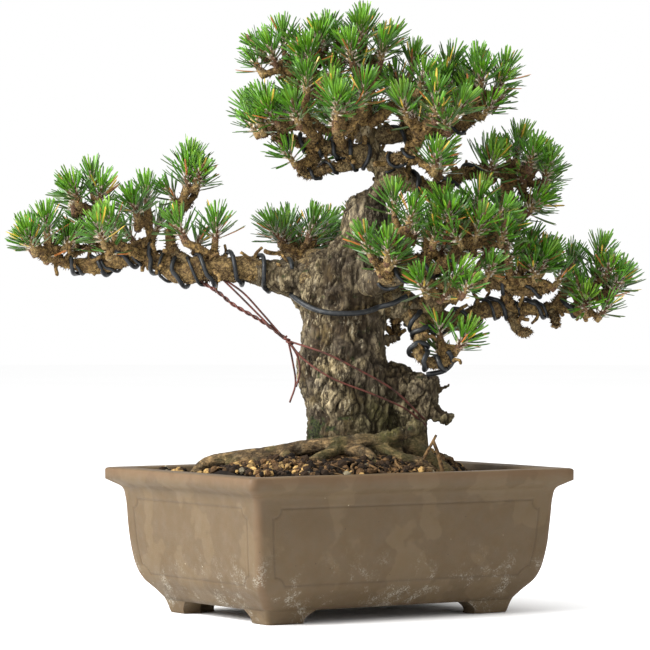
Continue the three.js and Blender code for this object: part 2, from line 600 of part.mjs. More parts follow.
// A tuft: every upper face of the core is drawn out to a needle, unless the needle would leave the
// shoot's own space or touch a limb or a twig of another mass
function tuftSolid(shoot, draw, others, obstacles) {
  const { corners, faces } = tuftBody(shoot, 0);
  const points = [...corners];
  const triangles = [];
  for (const { ring: [a, b, c], open } of faces) {
    if (open === undefined) {
      triangles.push(a, b, c);
      continue;
    }
    const root = mean([corners[a], corners[b], corners[c]]);
    const rise = dot(difference(root, shoot.base), shoot.axis);
    const out = unit(difference(root, offset(shoot.base, shoot.axis, rise)));
    const angle = THREE.MathUtils.degToRad(open + OPENING_SPREAD * (draw() - 0.5));
    const ahead = around({ side: shoot.axis, up: out }, angle);
    const full = NEEDLE_LENGTH * (LEAST_LENGTH + LENGTH_SPREAD * draw());
    const length = Math.min(full, roomFor(root, ahead, shoot.heart, others));
    const tip = offset(root, ahead, length);
    const touches = (solid) => solid.intersect(spike(corners[a], corners[b], corners[c], tip)).volume() > 0;
    if (length > SHORTEST * full && !obstacles.some(touches)) {
      const top = points.push(tip) - 1;
      triangles.push(a, b, top, b, c, top, c, a, top);
    } else {
      triangles.push(a, b, c);
    }
  }
  return solidOf(indexed(points, triangles));
}

// One needle by itself, as a three-sided spike
function spike(a, b, c, tip) {
  return solidOf(indexed([a, b, c, tip], [0, 2, 1, 0, 1, 3, 1, 2, 3, 2, 0, 3]));
}

// A mass's stem from its limb to the fork, and each shoot's twig and core, all without needles
function massStem(plan, grow) {
  const foot = { point: plan.foot, radius: TWIG_RADIUS[0] + STEM_FLARE };
  const fork = { point: plan.fork, radius: TWIG_RADIUS[0] };
  return solidOf(limb([foot, fork], TUFT_SIDES, 0, grow));
}

function massWood(plan, grow) {
  const bodies = plan.shoots.map((shoot) => {
    const { corners, faces } = tuftBody(shoot, grow);
    return solidOf(indexed(corners, faces.flatMap(({ ring }) => ring)));
  });
  return [massStem(plan, grow), ...bodies];
}

// Two solids can only meet where their boxes do
function boxesMeet(a, b) {
  const first = a.boundingBox();
  const second = b.boundingBox();
  return [0, 1, 2].every((axis) => first.min[axis] < second.max[axis] && second.min[axis] < first.max[axis]);
}

// One mass: stem, twigs and tufts, cut clear of the limbs and of the twigs of the masses before it
function massSolid(plan, others, limbs, earlierWood, otherWood) {
  const obstacles = [...limbs, ...otherWood];
  const tufts = plan.shoots.map((shoot) => {
    const neighbours = others.filter((heart) => heart !== shoot.heart);
    return tuftSolid(shoot, plan.draw, neighbours, obstacles);
  });
  let solid = wasm.Manifold.union([massStem(plan, 0), ...tufts]);
  for (const other of [...limbs, ...earlierWood].filter((obstacle) => boxesMeet(solid, obstacle))) {
    solid = solid.subtract(other);
  }
  return mainBody(solid);
}

// Colours and finish of each kind of piece
const finish = (color, roughness) => new THREE.MeshStandardMaterial({ color, roughness, metalness: 0 });
const stoneware = finish(0x8a7358, 0.8);
const soilMix = finish(0x5b4632, 0.95);
const bark = finish(0x8d7c66, 0.95);
const twigBark = finish(0x7d6247, 0.9);
const darkWire = new THREE.MeshStandardMaterial({ color: 0x2c2e30, roughness: 0.45, metalness: 0.8 });
const copperWire = new THREE.MeshStandardMaterial({ color: 0x6e3f33, roughness: 0.6, metalness: 0.7 });
const needleGreen = finish(0x4c8a34, 0.55);

const plant = new THREE.Group();
const tree = new THREE.Group();
tree.rotation.z = TREE_TURN;
plant.add(tree);

function addPiece(group, name, geometry, material) {
  const mesh = new THREE.Mesh(geometry, material);
  mesh.name = name;
  group.add(mesh);
}

addPiece(plant, "pot", makePot(), stoneware);
addPiece(plant, "soil", makeSoil(0), soilMix);

const trunk = makeTrunk(0);
addPiece(tree, "trunk", geometryOf(trunk), bark);

// Each limb is also kept grown by the clearance, and later pieces are cut by that
const grown = [makeTrunk(CLEAR)];
const carrying = TRUNK_RINGS.slice(CARRYING_RING);
const lines = { trunk: carrying.map(([up, left, right]) => ({ point: [(left + right) / 2, 0, up] })) };
for (const bough of BOUGHS) {
  const line = limbLine(bough.path, bough.thick, LIMB_SPACING);
  let solid = solidOf(limb(line, LIMB_SIDES, KNOB, 0));
  for (const other of grown) {
    solid = solid.subtract(other);
  }
  addPiece(tree, bough.name, geometryOf(mainBody(solid)), twigBark);
  grown.push(solidOf(limb(line, LIMB_SIDES, KNOB, CLEAR)));
  lines[bough.name] = limbLine(bough.path, bough.thick, STATION_SPACING);
}

function addWire(name, wireLines, sides, material) {
  const strands = wireLines.map((line) => solidOf(limb(line, sides, 0, 0)));
  let solid = wasm.Manifold.union(strands);
  for (const other of grown) {
    solid = solid.subtract(other);
  }
  addPiece(tree, name, geometryOf(mainBody(solid)), material);
  grown.push(...wireLines.map((line) => solidOf(limb(line, sides, 0, CLEAR))));
}

addWire("wire_trunk_ring", [ringLine()], SPIRAL_SIDES, darkWire);
for (const spiral of SPIRALS) {
  const bough = BOUGHS.find(({ name }) => name === spiral.bough);
  addWire(spiral.name, [spiralLine(bough, spiral)], SPIRAL_SIDES, darkWire);
}
const guyLines = GUY_STRANDS.map((path) => limbLine(path, [GUY_RADIUS, GUY_RADIUS], GUY_SPACING));
addWire("wire_guy", guyLines, GUY_SIDES, copperWire);

// Masses: all shoots are worked out first, so that each needle knows the shoots of the other masses
const plans = MASSES.map((mass, number) => {
  const foot = stemFoot(lines[mass.limb], mass.tufts[0]);
  return { mass, foot, ...massShoots(mass, foot, FIRST_SEED + SEED_STEP * number) };
});
const hearts = plans.flatMap((plan) => plan.shoots.map(({ heart }) => heart));
const grownWood = plans.map((plan) => massWood(plan, CLEAR));
plans.forEach((plan, number) => {
  const earlierWood = grownWood.slice(0, number).flat();
  const otherWood = grownWood.filter((_, other) => other !== number).flat();
  const solid = massSolid(plan, hearts, grown, earlierWood, otherWood);
  addPiece(tree, plan.mass.name, geometryOf(solid), needleGreen);
});

// The origin lies on the ground, under the middle of the whole plant
const extent = new THREE.Box3().setFromObject(plant);
const middle = extent.getCenter(new THREE.Vector3());
plant.position.set(-middle.x, -middle.y, -extent.min.z);

export default plant;
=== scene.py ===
"""Looks of a kotobuki Japanese black pine grown as a bonsai, in a footed stoneware pot.

Sizes are in metres, and tables of points in millimetres. The tree has a frame of its own, turned from
the pot's long side: a point there is (across, depth, up), and depth grows towards the back.
"""

import bpy
import numpy as np
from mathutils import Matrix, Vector


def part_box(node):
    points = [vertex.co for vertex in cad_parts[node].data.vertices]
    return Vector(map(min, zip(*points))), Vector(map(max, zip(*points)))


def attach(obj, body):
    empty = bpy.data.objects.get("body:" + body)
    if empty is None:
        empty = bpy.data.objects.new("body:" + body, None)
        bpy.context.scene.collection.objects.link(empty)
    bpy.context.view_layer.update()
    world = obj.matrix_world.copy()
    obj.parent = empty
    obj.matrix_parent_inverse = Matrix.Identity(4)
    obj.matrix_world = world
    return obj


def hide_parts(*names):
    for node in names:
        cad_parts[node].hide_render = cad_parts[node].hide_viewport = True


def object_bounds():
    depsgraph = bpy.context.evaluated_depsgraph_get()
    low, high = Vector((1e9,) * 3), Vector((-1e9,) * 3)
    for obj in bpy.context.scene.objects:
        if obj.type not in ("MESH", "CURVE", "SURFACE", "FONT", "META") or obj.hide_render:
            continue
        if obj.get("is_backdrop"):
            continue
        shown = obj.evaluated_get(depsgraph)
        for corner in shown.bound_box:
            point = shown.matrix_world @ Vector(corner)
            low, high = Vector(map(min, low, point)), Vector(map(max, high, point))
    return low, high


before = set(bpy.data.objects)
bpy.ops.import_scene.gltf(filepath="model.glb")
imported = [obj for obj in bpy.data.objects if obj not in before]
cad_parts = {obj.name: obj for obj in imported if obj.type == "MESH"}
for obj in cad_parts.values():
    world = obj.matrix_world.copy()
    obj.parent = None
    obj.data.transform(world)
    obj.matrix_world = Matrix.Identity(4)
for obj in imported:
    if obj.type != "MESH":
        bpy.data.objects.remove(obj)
cad_low, cad_high = (np.array(corner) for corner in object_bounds())

# Pot
# An unglazed stoneware box, pressed in a mould, with a flared rim, walls that draw in to the foot and
# a panel line incised on each wall. It is fired in one piece; damp, lime and rubbing have marked it.

def mm(values):
    """Millimetres as metres."""
    return np.array(values) / 1000


POT_HALF = mm([133.5, 99.5])
CORNER_RADIUS = 0.005
POT_OUTLINE = mm([
    [31.5, 9], [25.5, 16.5], [20, 23], [16.5, 31], [13.6, 46], [12, 62], [10.6, 80], [8.8, 87],
    [4, 90.5], [0.6, 91.8],
])
RIM_OUTLINE = mm([
    [0, 93], [0, 99.5], [0.6, 100.6], [1.8, 101], [15.5, 100.8], [16.8, 100], [17.8, 96], [19, 88],
    [21.5, 60],
])
UNDERSIDE = mm([[80, 9], [50, 9]])
INSIDE = mm([[31, 23], [38, 18]])
RIM_HEIGHT = RIM_OUTLINE[:, 1].max()
PANEL_INSET = 0.013
PANEL_LOW = 0.027
PANEL_TOP = 0.0795
PANEL_NOTCH = 0.0065
GROOVE_WIDTH = 0.0007
GROOVE_DEPTH = 0.0006
FINE_STEP = 0.0007
COARSE_STEP = 0.004
CORNER_STEPS = 8
CURVE_STEPS = 33
OUTLINE_ROWS = 26
OUTLINE_STEP = 0.0003
PANEL_BEVEL = 0.0015
PANEL_SUNK = 0.25 * GROOVE_DEPTH
LIP_LEVEL = 0.09
INNER_ROWS = 4
LINE_ROOM = 0.004
LINE_REACH = 0.035
EDGE_RUB = 0.004
RIM_RUB = 0.0016
RIM_RUB_LEVEL = 0.0995
RIM_RUB_INSET = 0.003
# Each layer of noise is its height, pitch and seed
WALL_WAVES = [(0.00035, 0.045, 3), (0.3 * 0.00035, 0.012, 4)]

STONEWARE = (82, 67, 45)
STONEWARE_PALE = (95, 80, 57)
STONEWARE_DAMP = (72, 58, 38)
STONEWARE_RED = (90, 66, 44)
LIME = (146, 142, 130)


def distance_along(points, power=1):
    """Distance along a path at each of its points, or the running sum of its steps to a power."""
    steps = np.linalg.norm(np.diff(points, axis=0), axis=1)
    return np.concatenate([[0], np.cumsum(steps ** power)])


def through(points, step):
    """Points at even steps along the centripetal Catmull-Rom curve through some points: each stretch
    blends its two end points and their two neighbours, with knots spaced by the root of distance."""
    points = np.asarray(points, dtype=float)
    held = np.vstack([2 * points[0] - points[1], points, 2 * points[-1] - points[-2]])
    knots = distance_along(held, 0.5)
    pieces = []
    for first in range(len(points) - 1):
        blends = held[first:first + 4]
        at = knots[first:first + 4]
        t = np.linspace(at[1], at[2], CURVE_STEPS)[:, None]
        for spans in (((0, 1), (1, 2), (2, 3)), ((0, 2), (1, 3)), ((1, 2),)):
            blends = [((at[high] - t) * a + (t - at[low]) * b) / (at[high] - at[low])
                      for (low, high), a, b in zip(spans, blends, blends[1:])]
        pieces.append(blends[0])
    dense = np.vstack(pieces)
    reach = distance_along(dense)
    stations = np.linspace(0, reach[-1], max(3, round(reach[-1] / step)) + 1)
    return np.stack([np.interp(stations, reach, axis) for axis in dense.T], axis=1)


def lattice_value(cells, seed):
    """A fixed random number between 0 and 1 for each whole-number cell, by mixing its bits."""
    mixed = cells.astype(np.uint32)
    value = mixed[..., 0] * np.uint32(73856093) ^ mixed[..., 1] * np.uint32(19349663)
    value = value ^ mixed[..., 2] * np.uint32(83492791) ^ np.uint32(seed * 2654435)
    value = (value ^ (value >> np.uint32(15))) * np.uint32(2246822519)
    value = (value ^ (value >> np.uint32(13))) * np.uint32(3266489917)
    return (value ^ (value >> np.uint32(16))) / 4294967295.0


def soft_noise(places, pitch, seed):
    """Smooth noise from -1 to 1: random values on a lattice of that pitch, blended by 3t^2 - 2t^3."""
    scaled = places / pitch
    cell = np.floor(scaled).astype(np.int64)
    share = scaled - cell
    share = share * share * (3 - 2 * share)
    total = np.zeros(places.shape[:-1])
    for corner in np.ndindex(2, 2, 2):
        weight = np.prod(np.where(corner, share, 1 - share), axis=-1)
        total += weight * lattice_value(cell + corner, seed)
    return 2 * total - 1


def layered(places, layers):
    """Layers of noise laid over each other."""
    return sum(height * soft_noise(places, pitch, seed) for height, pitch, seed in layers)


def smooth_step(low, high, value):
    """0 below low, 1 above high, and 3t^2 - 2t^3 between them."""
    t = np.clip((value - low) / (high - low), 0, 1)
    return t * t * (3 - 2 * t)


def circle(angles):
    """Points at some angles on a level circle of radius one."""
    return np.stack([np.cos(angles), np.sin(angles), 0 * angles], axis=-1)


def wrapped_grid(rows, columns):
    """The four-cornered faces of a grid whose last column joins its first."""
    place = np.arange(rows * columns).reshape(rows, columns)
    beside = np.roll(place, -1, axis=1)
    return np.stack([place[:-1], beside[:-1], beside[1:], place[1:]], axis=-1).reshape(-1, 4)


def fan(ring, middle, turned):
    """Triangles from each edge of a ring to a middle vertex."""
    beside = np.roll(ring, -1)
    edge = (beside, ring) if turned else (ring, beside)
    return np.stack([*edge, np.full(len(ring), middle)], axis=1)


def for_each(faces, bodies, size):
    """The faces of one body, for each of many bodies with that many vertices."""
    start = (np.arange(bodies) * size)[:, None, None]
    return (faces[None] + start).reshape(-1, faces.shape[1])


def closed_grid(grids, ends):
    """Closed bodies from grids of (bodies, rows, columns, 3): the last column joins the first, and a
    fan of triangles closes each end on a middle point of its own."""
    bodies, rows, columns = grids.shape[:3]
    count = rows * columns
    points = np.concatenate([grids.reshape(bodies, -1, 3), ends], axis=1)
    caps = np.vstack([fan(np.arange(columns), count, True),
                      fan(np.arange(count - columns, count), count + 1, False)])
    faces = (for_each(each, bodies, count + 2) for each in (wrapped_grid(rows, columns), caps))
    return points.reshape(-1, 3), *faces


def mesh_piece(name, places, *face_sets, smooth=True):
    """A mesh object from an array of vertices and arrays of faces."""
    mesh = bpy.data.meshes.new(name)
    corners = np.concatenate([faces.ravel() for faces in face_sets])
    sizes = np.concatenate([np.full(len(faces), faces.shape[1]) for faces in face_sets])
    mesh.vertices.add(len(places))
    mesh.vertices.foreach_set("co", np.ascontiguousarray(places, dtype=np.float32).ravel())
    mesh.loops.add(len(corners))
    mesh.loops.foreach_set("vertex_index", corners.astype(np.int32))
    mesh.polygons.add(len(sizes))
    mesh.polygons.foreach_set("loop_start", (np.cumsum(sizes) - sizes).astype(np.int32))
    mesh.polygons.foreach_set("use_smooth", np.full(len(sizes), smooth))
    mesh.update(calc_edges=True)
    piece = bpy.data.objects.new(name, mesh)
    bpy.context.scene.collection.objects.link(piece)
    return piece


def store(piece, **marks):
    """Named numbers, one for each vertex or one for all, for the material to read."""
    for name, values in marks.items():
        attribute = piece.data.attributes.new(name, "FLOAT", "POINT")
        spread = np.broadcast_to(values, len(piece.data.vertices))
        attribute.data.foreach_set("value", spread.astype(np.float32))


def finish_piece(piece, slot, materials, *nodes):
    """The piece takes its materials, stands for its solids and moves with the plant."""
    for material in materials:
        piece.data.materials.append(material)
    if nodes:
        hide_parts(*nodes)
    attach(piece, "root")


def shade(red, green, blue):
    """A colour of 0 to 255 a channel as the linear light that a shader takes."""
    value = np.array([red, green, blue]) / 255
    linear = np.where(value <= 0.04045, value / 12.92, ((value + 0.055) / 1.055) ** 2.4)
    return (*linear, 1.0)


class Finish:
    """A node material, with short calls for the nodes that the finishes here are made of. A colour is
    another node's output, or a tint of 0 to 255 a channel."""

    def __init__(self, name, roughness, metallic=0.0, specular=0.5):
        self.material = bpy.data.materials.new(name)
        self.material.use_nodes = True
        self.tree = self.material.node_tree
        self.shader = self.tree.nodes["Principled BSDF"]
        self.put(self.shader, {
            "Roughness": roughness, "Metallic": metallic, "Specular IOR Level": specular})
        self.place = self.node("TexCoord", "Object", {})

    def put(self, node, inputs):
        """Each input takes its value, or a link where that is another node's output."""
        for name, value in inputs.items():
            if isinstance(value, bpy.types.NodeSocket):
                self.tree.links.new(value, node.inputs[name])
            else:
                node.inputs[name].default_value = value

    def node(self, kind, output, inputs, **settings):
        """A new node with its settings and inputs, of which one output is given back."""
        made = self.tree.nodes.new(f"ShaderNode{kind}")
        for name, value in settings.items():
            setattr(made, name, value)
        self.put(made, inputs)
        return made.outputs[output]

    def noise(self, pitch, detail=3.0, roughness=0.55, place=None):
        return self.node("TexNoise", "Fac", {
            "Vector": place or self.place, "Scale": 1 / pitch, "Detail": detail, "Roughness": roughness})

    def cells(self, pitch, feature="F1"):
        inputs = {"Vector": self.place, "Scale": 1 / pitch}
        return self.node("TexVoronoi", "Distance", inputs, feature=feature)

    def stretched(self, x, y, z, turn=0.0):
        return self.node("Mapping", "Vector", {
            "Vector": self.place, "Rotation": (0, 0, turn), "Scale": (1 / x, 1 / y, 1 / z)},
            vector_type="TEXTURE")

    def read(self, name):
        return self.node("Attribute", "Fac", {}, attribute_name=name)

    def between(self, value, low, high):
        return self.node("MapRange", "Result", {"Value": value, "From Min": low, "From Max": high},
                         interpolation_type="SMOOTHSTEP")

    def spots(self, low, high, *noise):
        """Where noise lies between two values, from 0 to 1."""
        return self.between(self.noise(*noise), low, high)

    def times(self, a, b):
        return self.node("Math", 0, {0: a, 1: b}, operation="MULTIPLY")

    def blend(self, share, a, b):
        a, b = (shade(*colour) if isinstance(colour, tuple) else colour for colour in (a, b))
        return self.node("Mix", 2, {"Factor": share, 6: a, 7: b}, data_type="RGBA")

    def coat(self, colour, share, weight, tint):
        """A tint laid over a colour by a share times a weight."""
        return self.blend(self.times(share, weight), colour, tint)

    def relief(self, height, depth, **under):
        inputs = {"Strength": 1.0, "Distance": depth, "Height": height, **under}
        return self.node("Bump", "Normal", inputs)

    def wear(self, colour, normal, roughness=None):
        """The finished material, with what was worked out linked to its shader."""
        given = {"Base Color": colour, "Roughness": roughness, "Normal": normal}
        self.put(self.shader, {name: value for name, value in given.items() if value is not None})
        return self.material


pot_low, pot_high = (np.array(corner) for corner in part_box("pot"))
pot_middle = np.array([*(pot_low + pot_high)[:2] / 2, 0.0])


def side_steps(half):
    """Steps along one wall, from -1 to 1: fine ones near the panel's ends, coarse ones between."""
    fine = np.arange(0, PANEL_INSET + 1.6 * PANEL_NOTCH, FINE_STEP)
    coarse = np.linspace(fine[-1], 2 * half - fine[-1], round(2 * (half - fine[-1]) / COARSE_STEP) + 1)
    steps = np.concatenate([fine, coarse[1:-1], 2 * half - fine[::-1]])
    return steps / half - 1


def box_ring():
    """Columns round the pot: at each corner a quarter arc, along each wall even steps. A column is its
    share of the half sizes, less the corner radius, and the direction in which the radius points."""
    shares = []
    angles = []
    corners = ((1, 1), (-1, 1), (-1, -1), (1, -1))
    for corner, here in enumerate(corners):
        arc = (corner + np.linspace(0, 1, CORNER_STEPS + 1)) * np.pi / 2
        shares.append(np.tile(here, (len(arc), 1)))
        angles.append(arc)
        beyond = np.array(corners[(corner + 1) % 4])
        steps = side_steps(POT_HALF[corner % 2] - CORNER_RADIUS)[1:-1, None]
        shares.append((np.array(here) * (1 - steps) + beyond * (1 + steps)) / 2)
        angles.append(np.full(len(steps), (corner + 1) * np.pi / 2))
    return np.vstack(shares), circle(np.concatenate(angles))[:, :2]


def outline_steps(points):
    """The outside from foot to rim by a smooth curve, with fine steps across the panel's two lines."""
    curve = through(points, OUTLINE_STEP)
    fine = [np.arange(edge - PANEL_NOTCH * 1.5, edge + PANEL_NOTCH * 1.5, FINE_STEP)
            for edge in (PANEL_LOW, PANEL_TOP)]
    coarse = np.linspace(curve[0, 1], curve[-1, 1], OUTLINE_ROWS)
    levels = np.unique(np.round(np.concatenate([*fine, coarse]), 5))
    levels = levels[np.concatenate([[True], np.diff(levels) > FINE_STEP * 0.4])]
    levels = levels[(levels >= curve[0, 1]) & (levels <= curve[-1, 1])]
    return np.stack([np.interp(levels, curve[:, 1], curve[:, 0]), levels], axis=1)


def pot_piece(name, body, smooth=True):
    """A mesh of one body, moved from the frame's middle to the pot's."""
    points, *faces = body
    return mesh_piece(name, points + pot_middle, *faces, smooth=smooth)


def pot_wall():
    """The pot as one grid, from the middle of the underside over the rim to the inside. A row is a
    rounded box inset by the outline. The walls wave a little, and the panel's line is sunk by
    exp(-(d / width)^2), where d is the distance to a box with quarter rounds cut from its corners."""
    shares, directions = box_ring()
    rows = np.vstack([UNDERSIDE, outline_steps(POT_OUTLINE), RIM_OUTLINE, INSIDE])
    inset = rows[:, 0][:, None, None]
    half = POT_HALF - inset
    radius = np.minimum(CORNER_RADIUS, 0.9 * half.min(axis=-1, keepdims=True))
    flat = shares[None] * (half - radius) + directions[None] * radius
    level = np.broadcast_to(rows[:, 1][:, None], flat.shape[:2])
    along_x = np.abs(directions[:, 1]) > 0.5
    across = np.where(along_x, flat[..., 0], flat[..., 1])
    reach = np.where(along_x, half[..., 0], half[..., 1]) - PANEL_INSET
    middle = (PANEL_LOW + PANEL_TOP) / 2
    beside = np.abs(across) - reach
    above = np.abs(level - middle) - (PANEL_TOP - PANEL_LOW) / 2
    distance = np.maximum(beside, above)
    notch = PANEL_NOTCH - np.hypot(beside, above)
    distance = np.maximum(distance, notch)
    outside = (rows[:, 1] < RIM_HEIGHT - LINE_ROOM) & (rows[:, 0] < LINE_REACH)
    outside = (outside & (np.arange(len(rows)) < len(rows) - INNER_ROWS))[:, None]
    groove = np.exp(-(distance / GROOVE_WIDTH) ** 2) * outside
    sunk = smooth_step(0, -PANEL_BEVEL, distance) * outside
    places = np.concatenate([flat, level[..., None]], axis=-1)
    wave = layered(places, WALL_WAVES)
    push = wave - GROOVE_DEPTH * groove - PANEL_SUNK * sunk
    places[..., :2] += directions[None] * push[..., None]
    places[..., 2] += 0.5 * wave * (level > LIP_LEVEL)
    ends = np.array([[0, 0, rows[0, 1]], [0, 0, rows[-1, 1]]])
    edge = np.exp(-((np.abs(np.abs(places[..., 0]) - half[..., 0])
                     + np.abs(np.abs(places[..., 1]) - half[..., 1])) / EDGE_RUB) ** 2)
    rim = np.exp(-((level - RIM_RUB_LEVEL) / RIM_RUB) ** 2) * (inset[..., 0] < RIM_RUB_INSET)
    marks = {"line": groove, "rubbed": np.maximum(edge, 0.8 * rim)}
    marks = {name: np.append(mark.ravel(), [0, 0]) for name, mark in marks.items()}
    return closed_grid(places[None], ends[None]), marks


def stoneware():
    """Matt brown clay: damp and dry patches with soft edges, reddish rubbed corners, lime bloom low on
    the walls, dark grains of sand and fine combed lines."""
    clay = Finish("stoneware", 0.78, specular=0.3)
    colour = clay.blend(clay.noise(0.02), STONEWARE_DAMP, STONEWARE)
    colour = clay.coat(colour, clay.spots(0.53, 0.56, 0.036, 3.0, 0.5), 0.38, STONEWARE_PALE)
    colour = clay.coat(colour, clay.spots(0.35, 0.75, 0.004, 4.0, 0.6), 0.18, STONEWARE_RED)
    colour = clay.coat(colour, clay.read("rubbed"), 0.65, STONEWARE_RED)
    height = clay.node("SeparateXYZ", "Z", {"Vector": clay.place})
    bloom = clay.times(clay.spots(0.51, 0.68, 0.022, 5.0, 0.72), clay.between(height, 0.056, 0.018))
    bloom = clay.times(bloom, clay.spots(0.42, 0.62, 0.0012, 2.0))
    colour = clay.coat(colour, bloom, 0.8, LIME)
    colour = clay.coat(colour, clay.between(clay.cells(0.009), 0.06, 0.03), 0.55, (34, 27, 20))
    colour = clay.coat(colour, clay.between(clay.cells(0.017), 0.035, 0.02), 0.6, (168, 158, 134))
    colour = clay.coat(colour, clay.read("line"), 0.3, (54, 42, 30))
    combed = clay.noise(0.0011, 2.0, 0.55, clay.stretched(0.08, 0.08, 1.0))
    normal = clay.relief(clay.noise(0.0007), 0.00012, Normal=clay.relief(combed, 0.00006))
    return clay.wear(colour, normal, clay.spots(-0.9, 1.4, 0.01))


pot_body, marks = pot_wall()
pot = pot_piece("pot_body", pot_body)
store(pot, **marks)
clay_finish = stoneware()
finish_piece(pot, "stoneware", [clay_finish], "pot")

# Feet of the pot
# Four bracket feet of the same clay, one at each corner, luted on before firing. Both legs of a foot
# end in an ogee that runs up into the underside.
FOOT_INSET = 0.034
FOOT_TOP = 0.0135
FOOT_THICK = 0.014
FOOT_LONG = (0.0285, 0.046)
FOOT_SHORT = (0.0205, 0.034)
FOOT_ROUND = 0.003
FOOT_SPREAD = 0.0045
FOOT_TOE = 0.0006
FOOT_ROWS = 15
FOOT_ARC_STEPS = 6
KNEE_SHARE = 0.6


def pot_foot(sx, sy):
    """A bracket foot: a rounded L at each height, whose legs lengthen upwards by a cosine ogee, and
    which spreads outwards towards the wall above it."""
    rise = np.linspace(0, 1, FOOT_ROWS)
    ogee = (1 - np.cos(np.pi * rise)) / 2 * rise ** 0.4
    long = FOOT_LONG[0] + (FOOT_LONG[1] - FOOT_LONG[0]) * ogee
    short = FOOT_SHORT[0] + (FOOT_SHORT[1] - FOOT_SHORT[0]) * ogee
    inset = FOOT_INSET - FOOT_SPREAD * rise ** 1.5 + FOOT_TOE * np.exp(-rise * 12)
    arc = np.linspace(0, np.pi / 2, FOOT_ARC_STEPS + 1)
    zero = np.zeros_like(rise)
    thick = zero + FOOT_THICK
    outer = [(zero + FOOT_ROUND * (1 - np.sin(a)), zero + FOOT_ROUND * (1 - np.cos(a))) for a in arc]
    legs = [(long, zero), (long, thick), (thick, thick), (thick, short), (zero, short)]
    ring = [*legs, *outer[::-1]]
    places = np.stack([np.stack([x, y, rise * FOOT_TOP], axis=1) for x, y in ring], axis=1)
    places[..., 0] = sx * (POT_HALF[0] - inset[:, None] - places[..., 0])
    places[..., 1] = sy * (POT_HALF[1] - inset[:, None] - places[..., 1])
    if sx * sy < 0:
        places = places[:, ::-1]
    return places


corners = ((1, 1), (-1, 1), (-1, -1), (1, -1))
# The middle of each end lies in the knee of the L, so that the fan stays inside it
knees = np.array(corners) * (POT_HALF - FOOT_INSET - FOOT_THICK * KNEE_SHARE)
ends = np.array([[[*knee, 0.0], [*knee, FOOT_TOP]] for knee in knees])
foot_grids = np.stack([pot_foot(*corner) for corner in corners])
feet = pot_piece("pot_feet", closed_grid(foot_grids, ends), smooth=False)
store(feet, line=0, rubbed=0)
finish_piece(feet, "stoneware", [clay_finish])

# Soil
# Baked clay grains and dark humus, heaped up to the trunk and sunk a little at the right. The bed
# fills the pot, and loose grains in four tints lie on it.
TREE_TURN = np.radians(-33)
MOUND_FOOT = 0.010 * np.array([np.cos(TREE_TURN), np.sin(TREE_TURN)])
BED_INSET = 0.0194
SOIL_HALF = POT_HALF - BED_INSET
PLATEAU = 0.110
PLATEAU_SHARE = 0.45
SOIL_EDGE = 0.098
EDGE_SLOPE = 0.03
LUMP_HEIGHT = 0.0034
LUMP_PITCH = 0.020
BED_SUNK = 0.0022
BED_DEPTH = 0.055
BED_ROUGH = [(0.0013, 0.009, 21), (0.0008, 0.003, 22)]
BED_ROWS = 60
BED_HEART = 0.04
HUMUS = (32, 24, 17)
GRAIN_COUNT = 3600
GRAIN_SIZES = (0.0012, 0.0040)
GRAIN_ROOM = 0.003
GRAIN_SUNK = (-0.7, 0.45)
GRAIN_SEED = 41
TINT_PITCH = 0.018
PALE_ABOVE = 0.12
SUNK_DEPTH = 0.008
SUNK_BELT = (0.060, 0.086)
LEFT_SUNK = 0.005
LEFT_BELT = (0.080, 0.105)
GRAIN_TINTS = {
    "grain_ochre": (190, 154, 96), "grain_brown": (112, 84, 54), "grain_dark": (54, 40, 27),
    "grain_grey": (140, 130, 106), "grain_peat": (28, 21, 14),
}
LUMP_FACES = 12
PALE_SHARES = [0.40, 0.24, 0.18, 0.06, 0.12]
DARK_SHARES = [0.02, 0.16, 0.36, 0.02, 0.44]


def unit(vectors):
    """Vectors of length one."""
    return vectors / np.maximum(np.linalg.norm(vectors, axis=-1, keepdims=True), 1e-9)


def soil_top(places):
    """Height of the soil: level round the trunk, then a smooth fall to the rim, deeper at the right,
    with broad lumps."""
    reach = np.linalg.norm((places[..., :2] - MOUND_FOOT) / SOIL_HALF, axis=-1)
    fall = smooth_step(PLATEAU_SHARE, 1, reach)
    edge = SOIL_EDGE - EDGE_SLOPE * places[..., 0]
    level = np.stack([places[..., 0], places[..., 1], np.zeros(places.shape[:-1])], axis=-1)
    rightwards = places[..., 0] * np.cos(TREE_TURN) + places[..., 1] * np.sin(TREE_TURN)
    edge = edge - SUNK_DEPTH * smooth_step(*SUNK_BELT, rightwards)
    edge = edge - LEFT_SUNK * smooth_step(*LEFT_BELT, -rightwards)
    return PLATEAU * (1 - fall) + edge * fall + LUMP_HEIGHT * soft_noise(level, LUMP_PITCH, 0)


def soil_bed():
    """The bed: rounded boxes that shrink towards the trunk's foot, each point at the soil's height and
    roughened by two scales of noise, with a side and a floor below."""
    shares, directions = box_ring()
    shares = shares[::3]
    directions = directions[::3]
    outer = shares * (SOIL_HALF - CORNER_RADIUS) + directions * CORNER_RADIUS
    share = np.linspace(1, BED_HEART, BED_ROWS)[:, None, None]
    flat = MOUND_FOOT + (outer - MOUND_FOOT) * share
    places = np.concatenate([flat, np.zeros((*flat.shape[:2], 1))], axis=-1)
    places[..., 2] = soil_top(places) - BED_SUNK + layered(places, BED_ROUGH)
    skirt = np.concatenate([outer, np.full((len(outer), 1), BED_DEPTH)], axis=1)[None]
    places = np.concatenate([skirt, places])
    ends = np.array([[*MOUND_FOOT, BED_DEPTH], [*MOUND_FOOT, PLATEAU]])
    return closed_grid(places[None], ends[None])


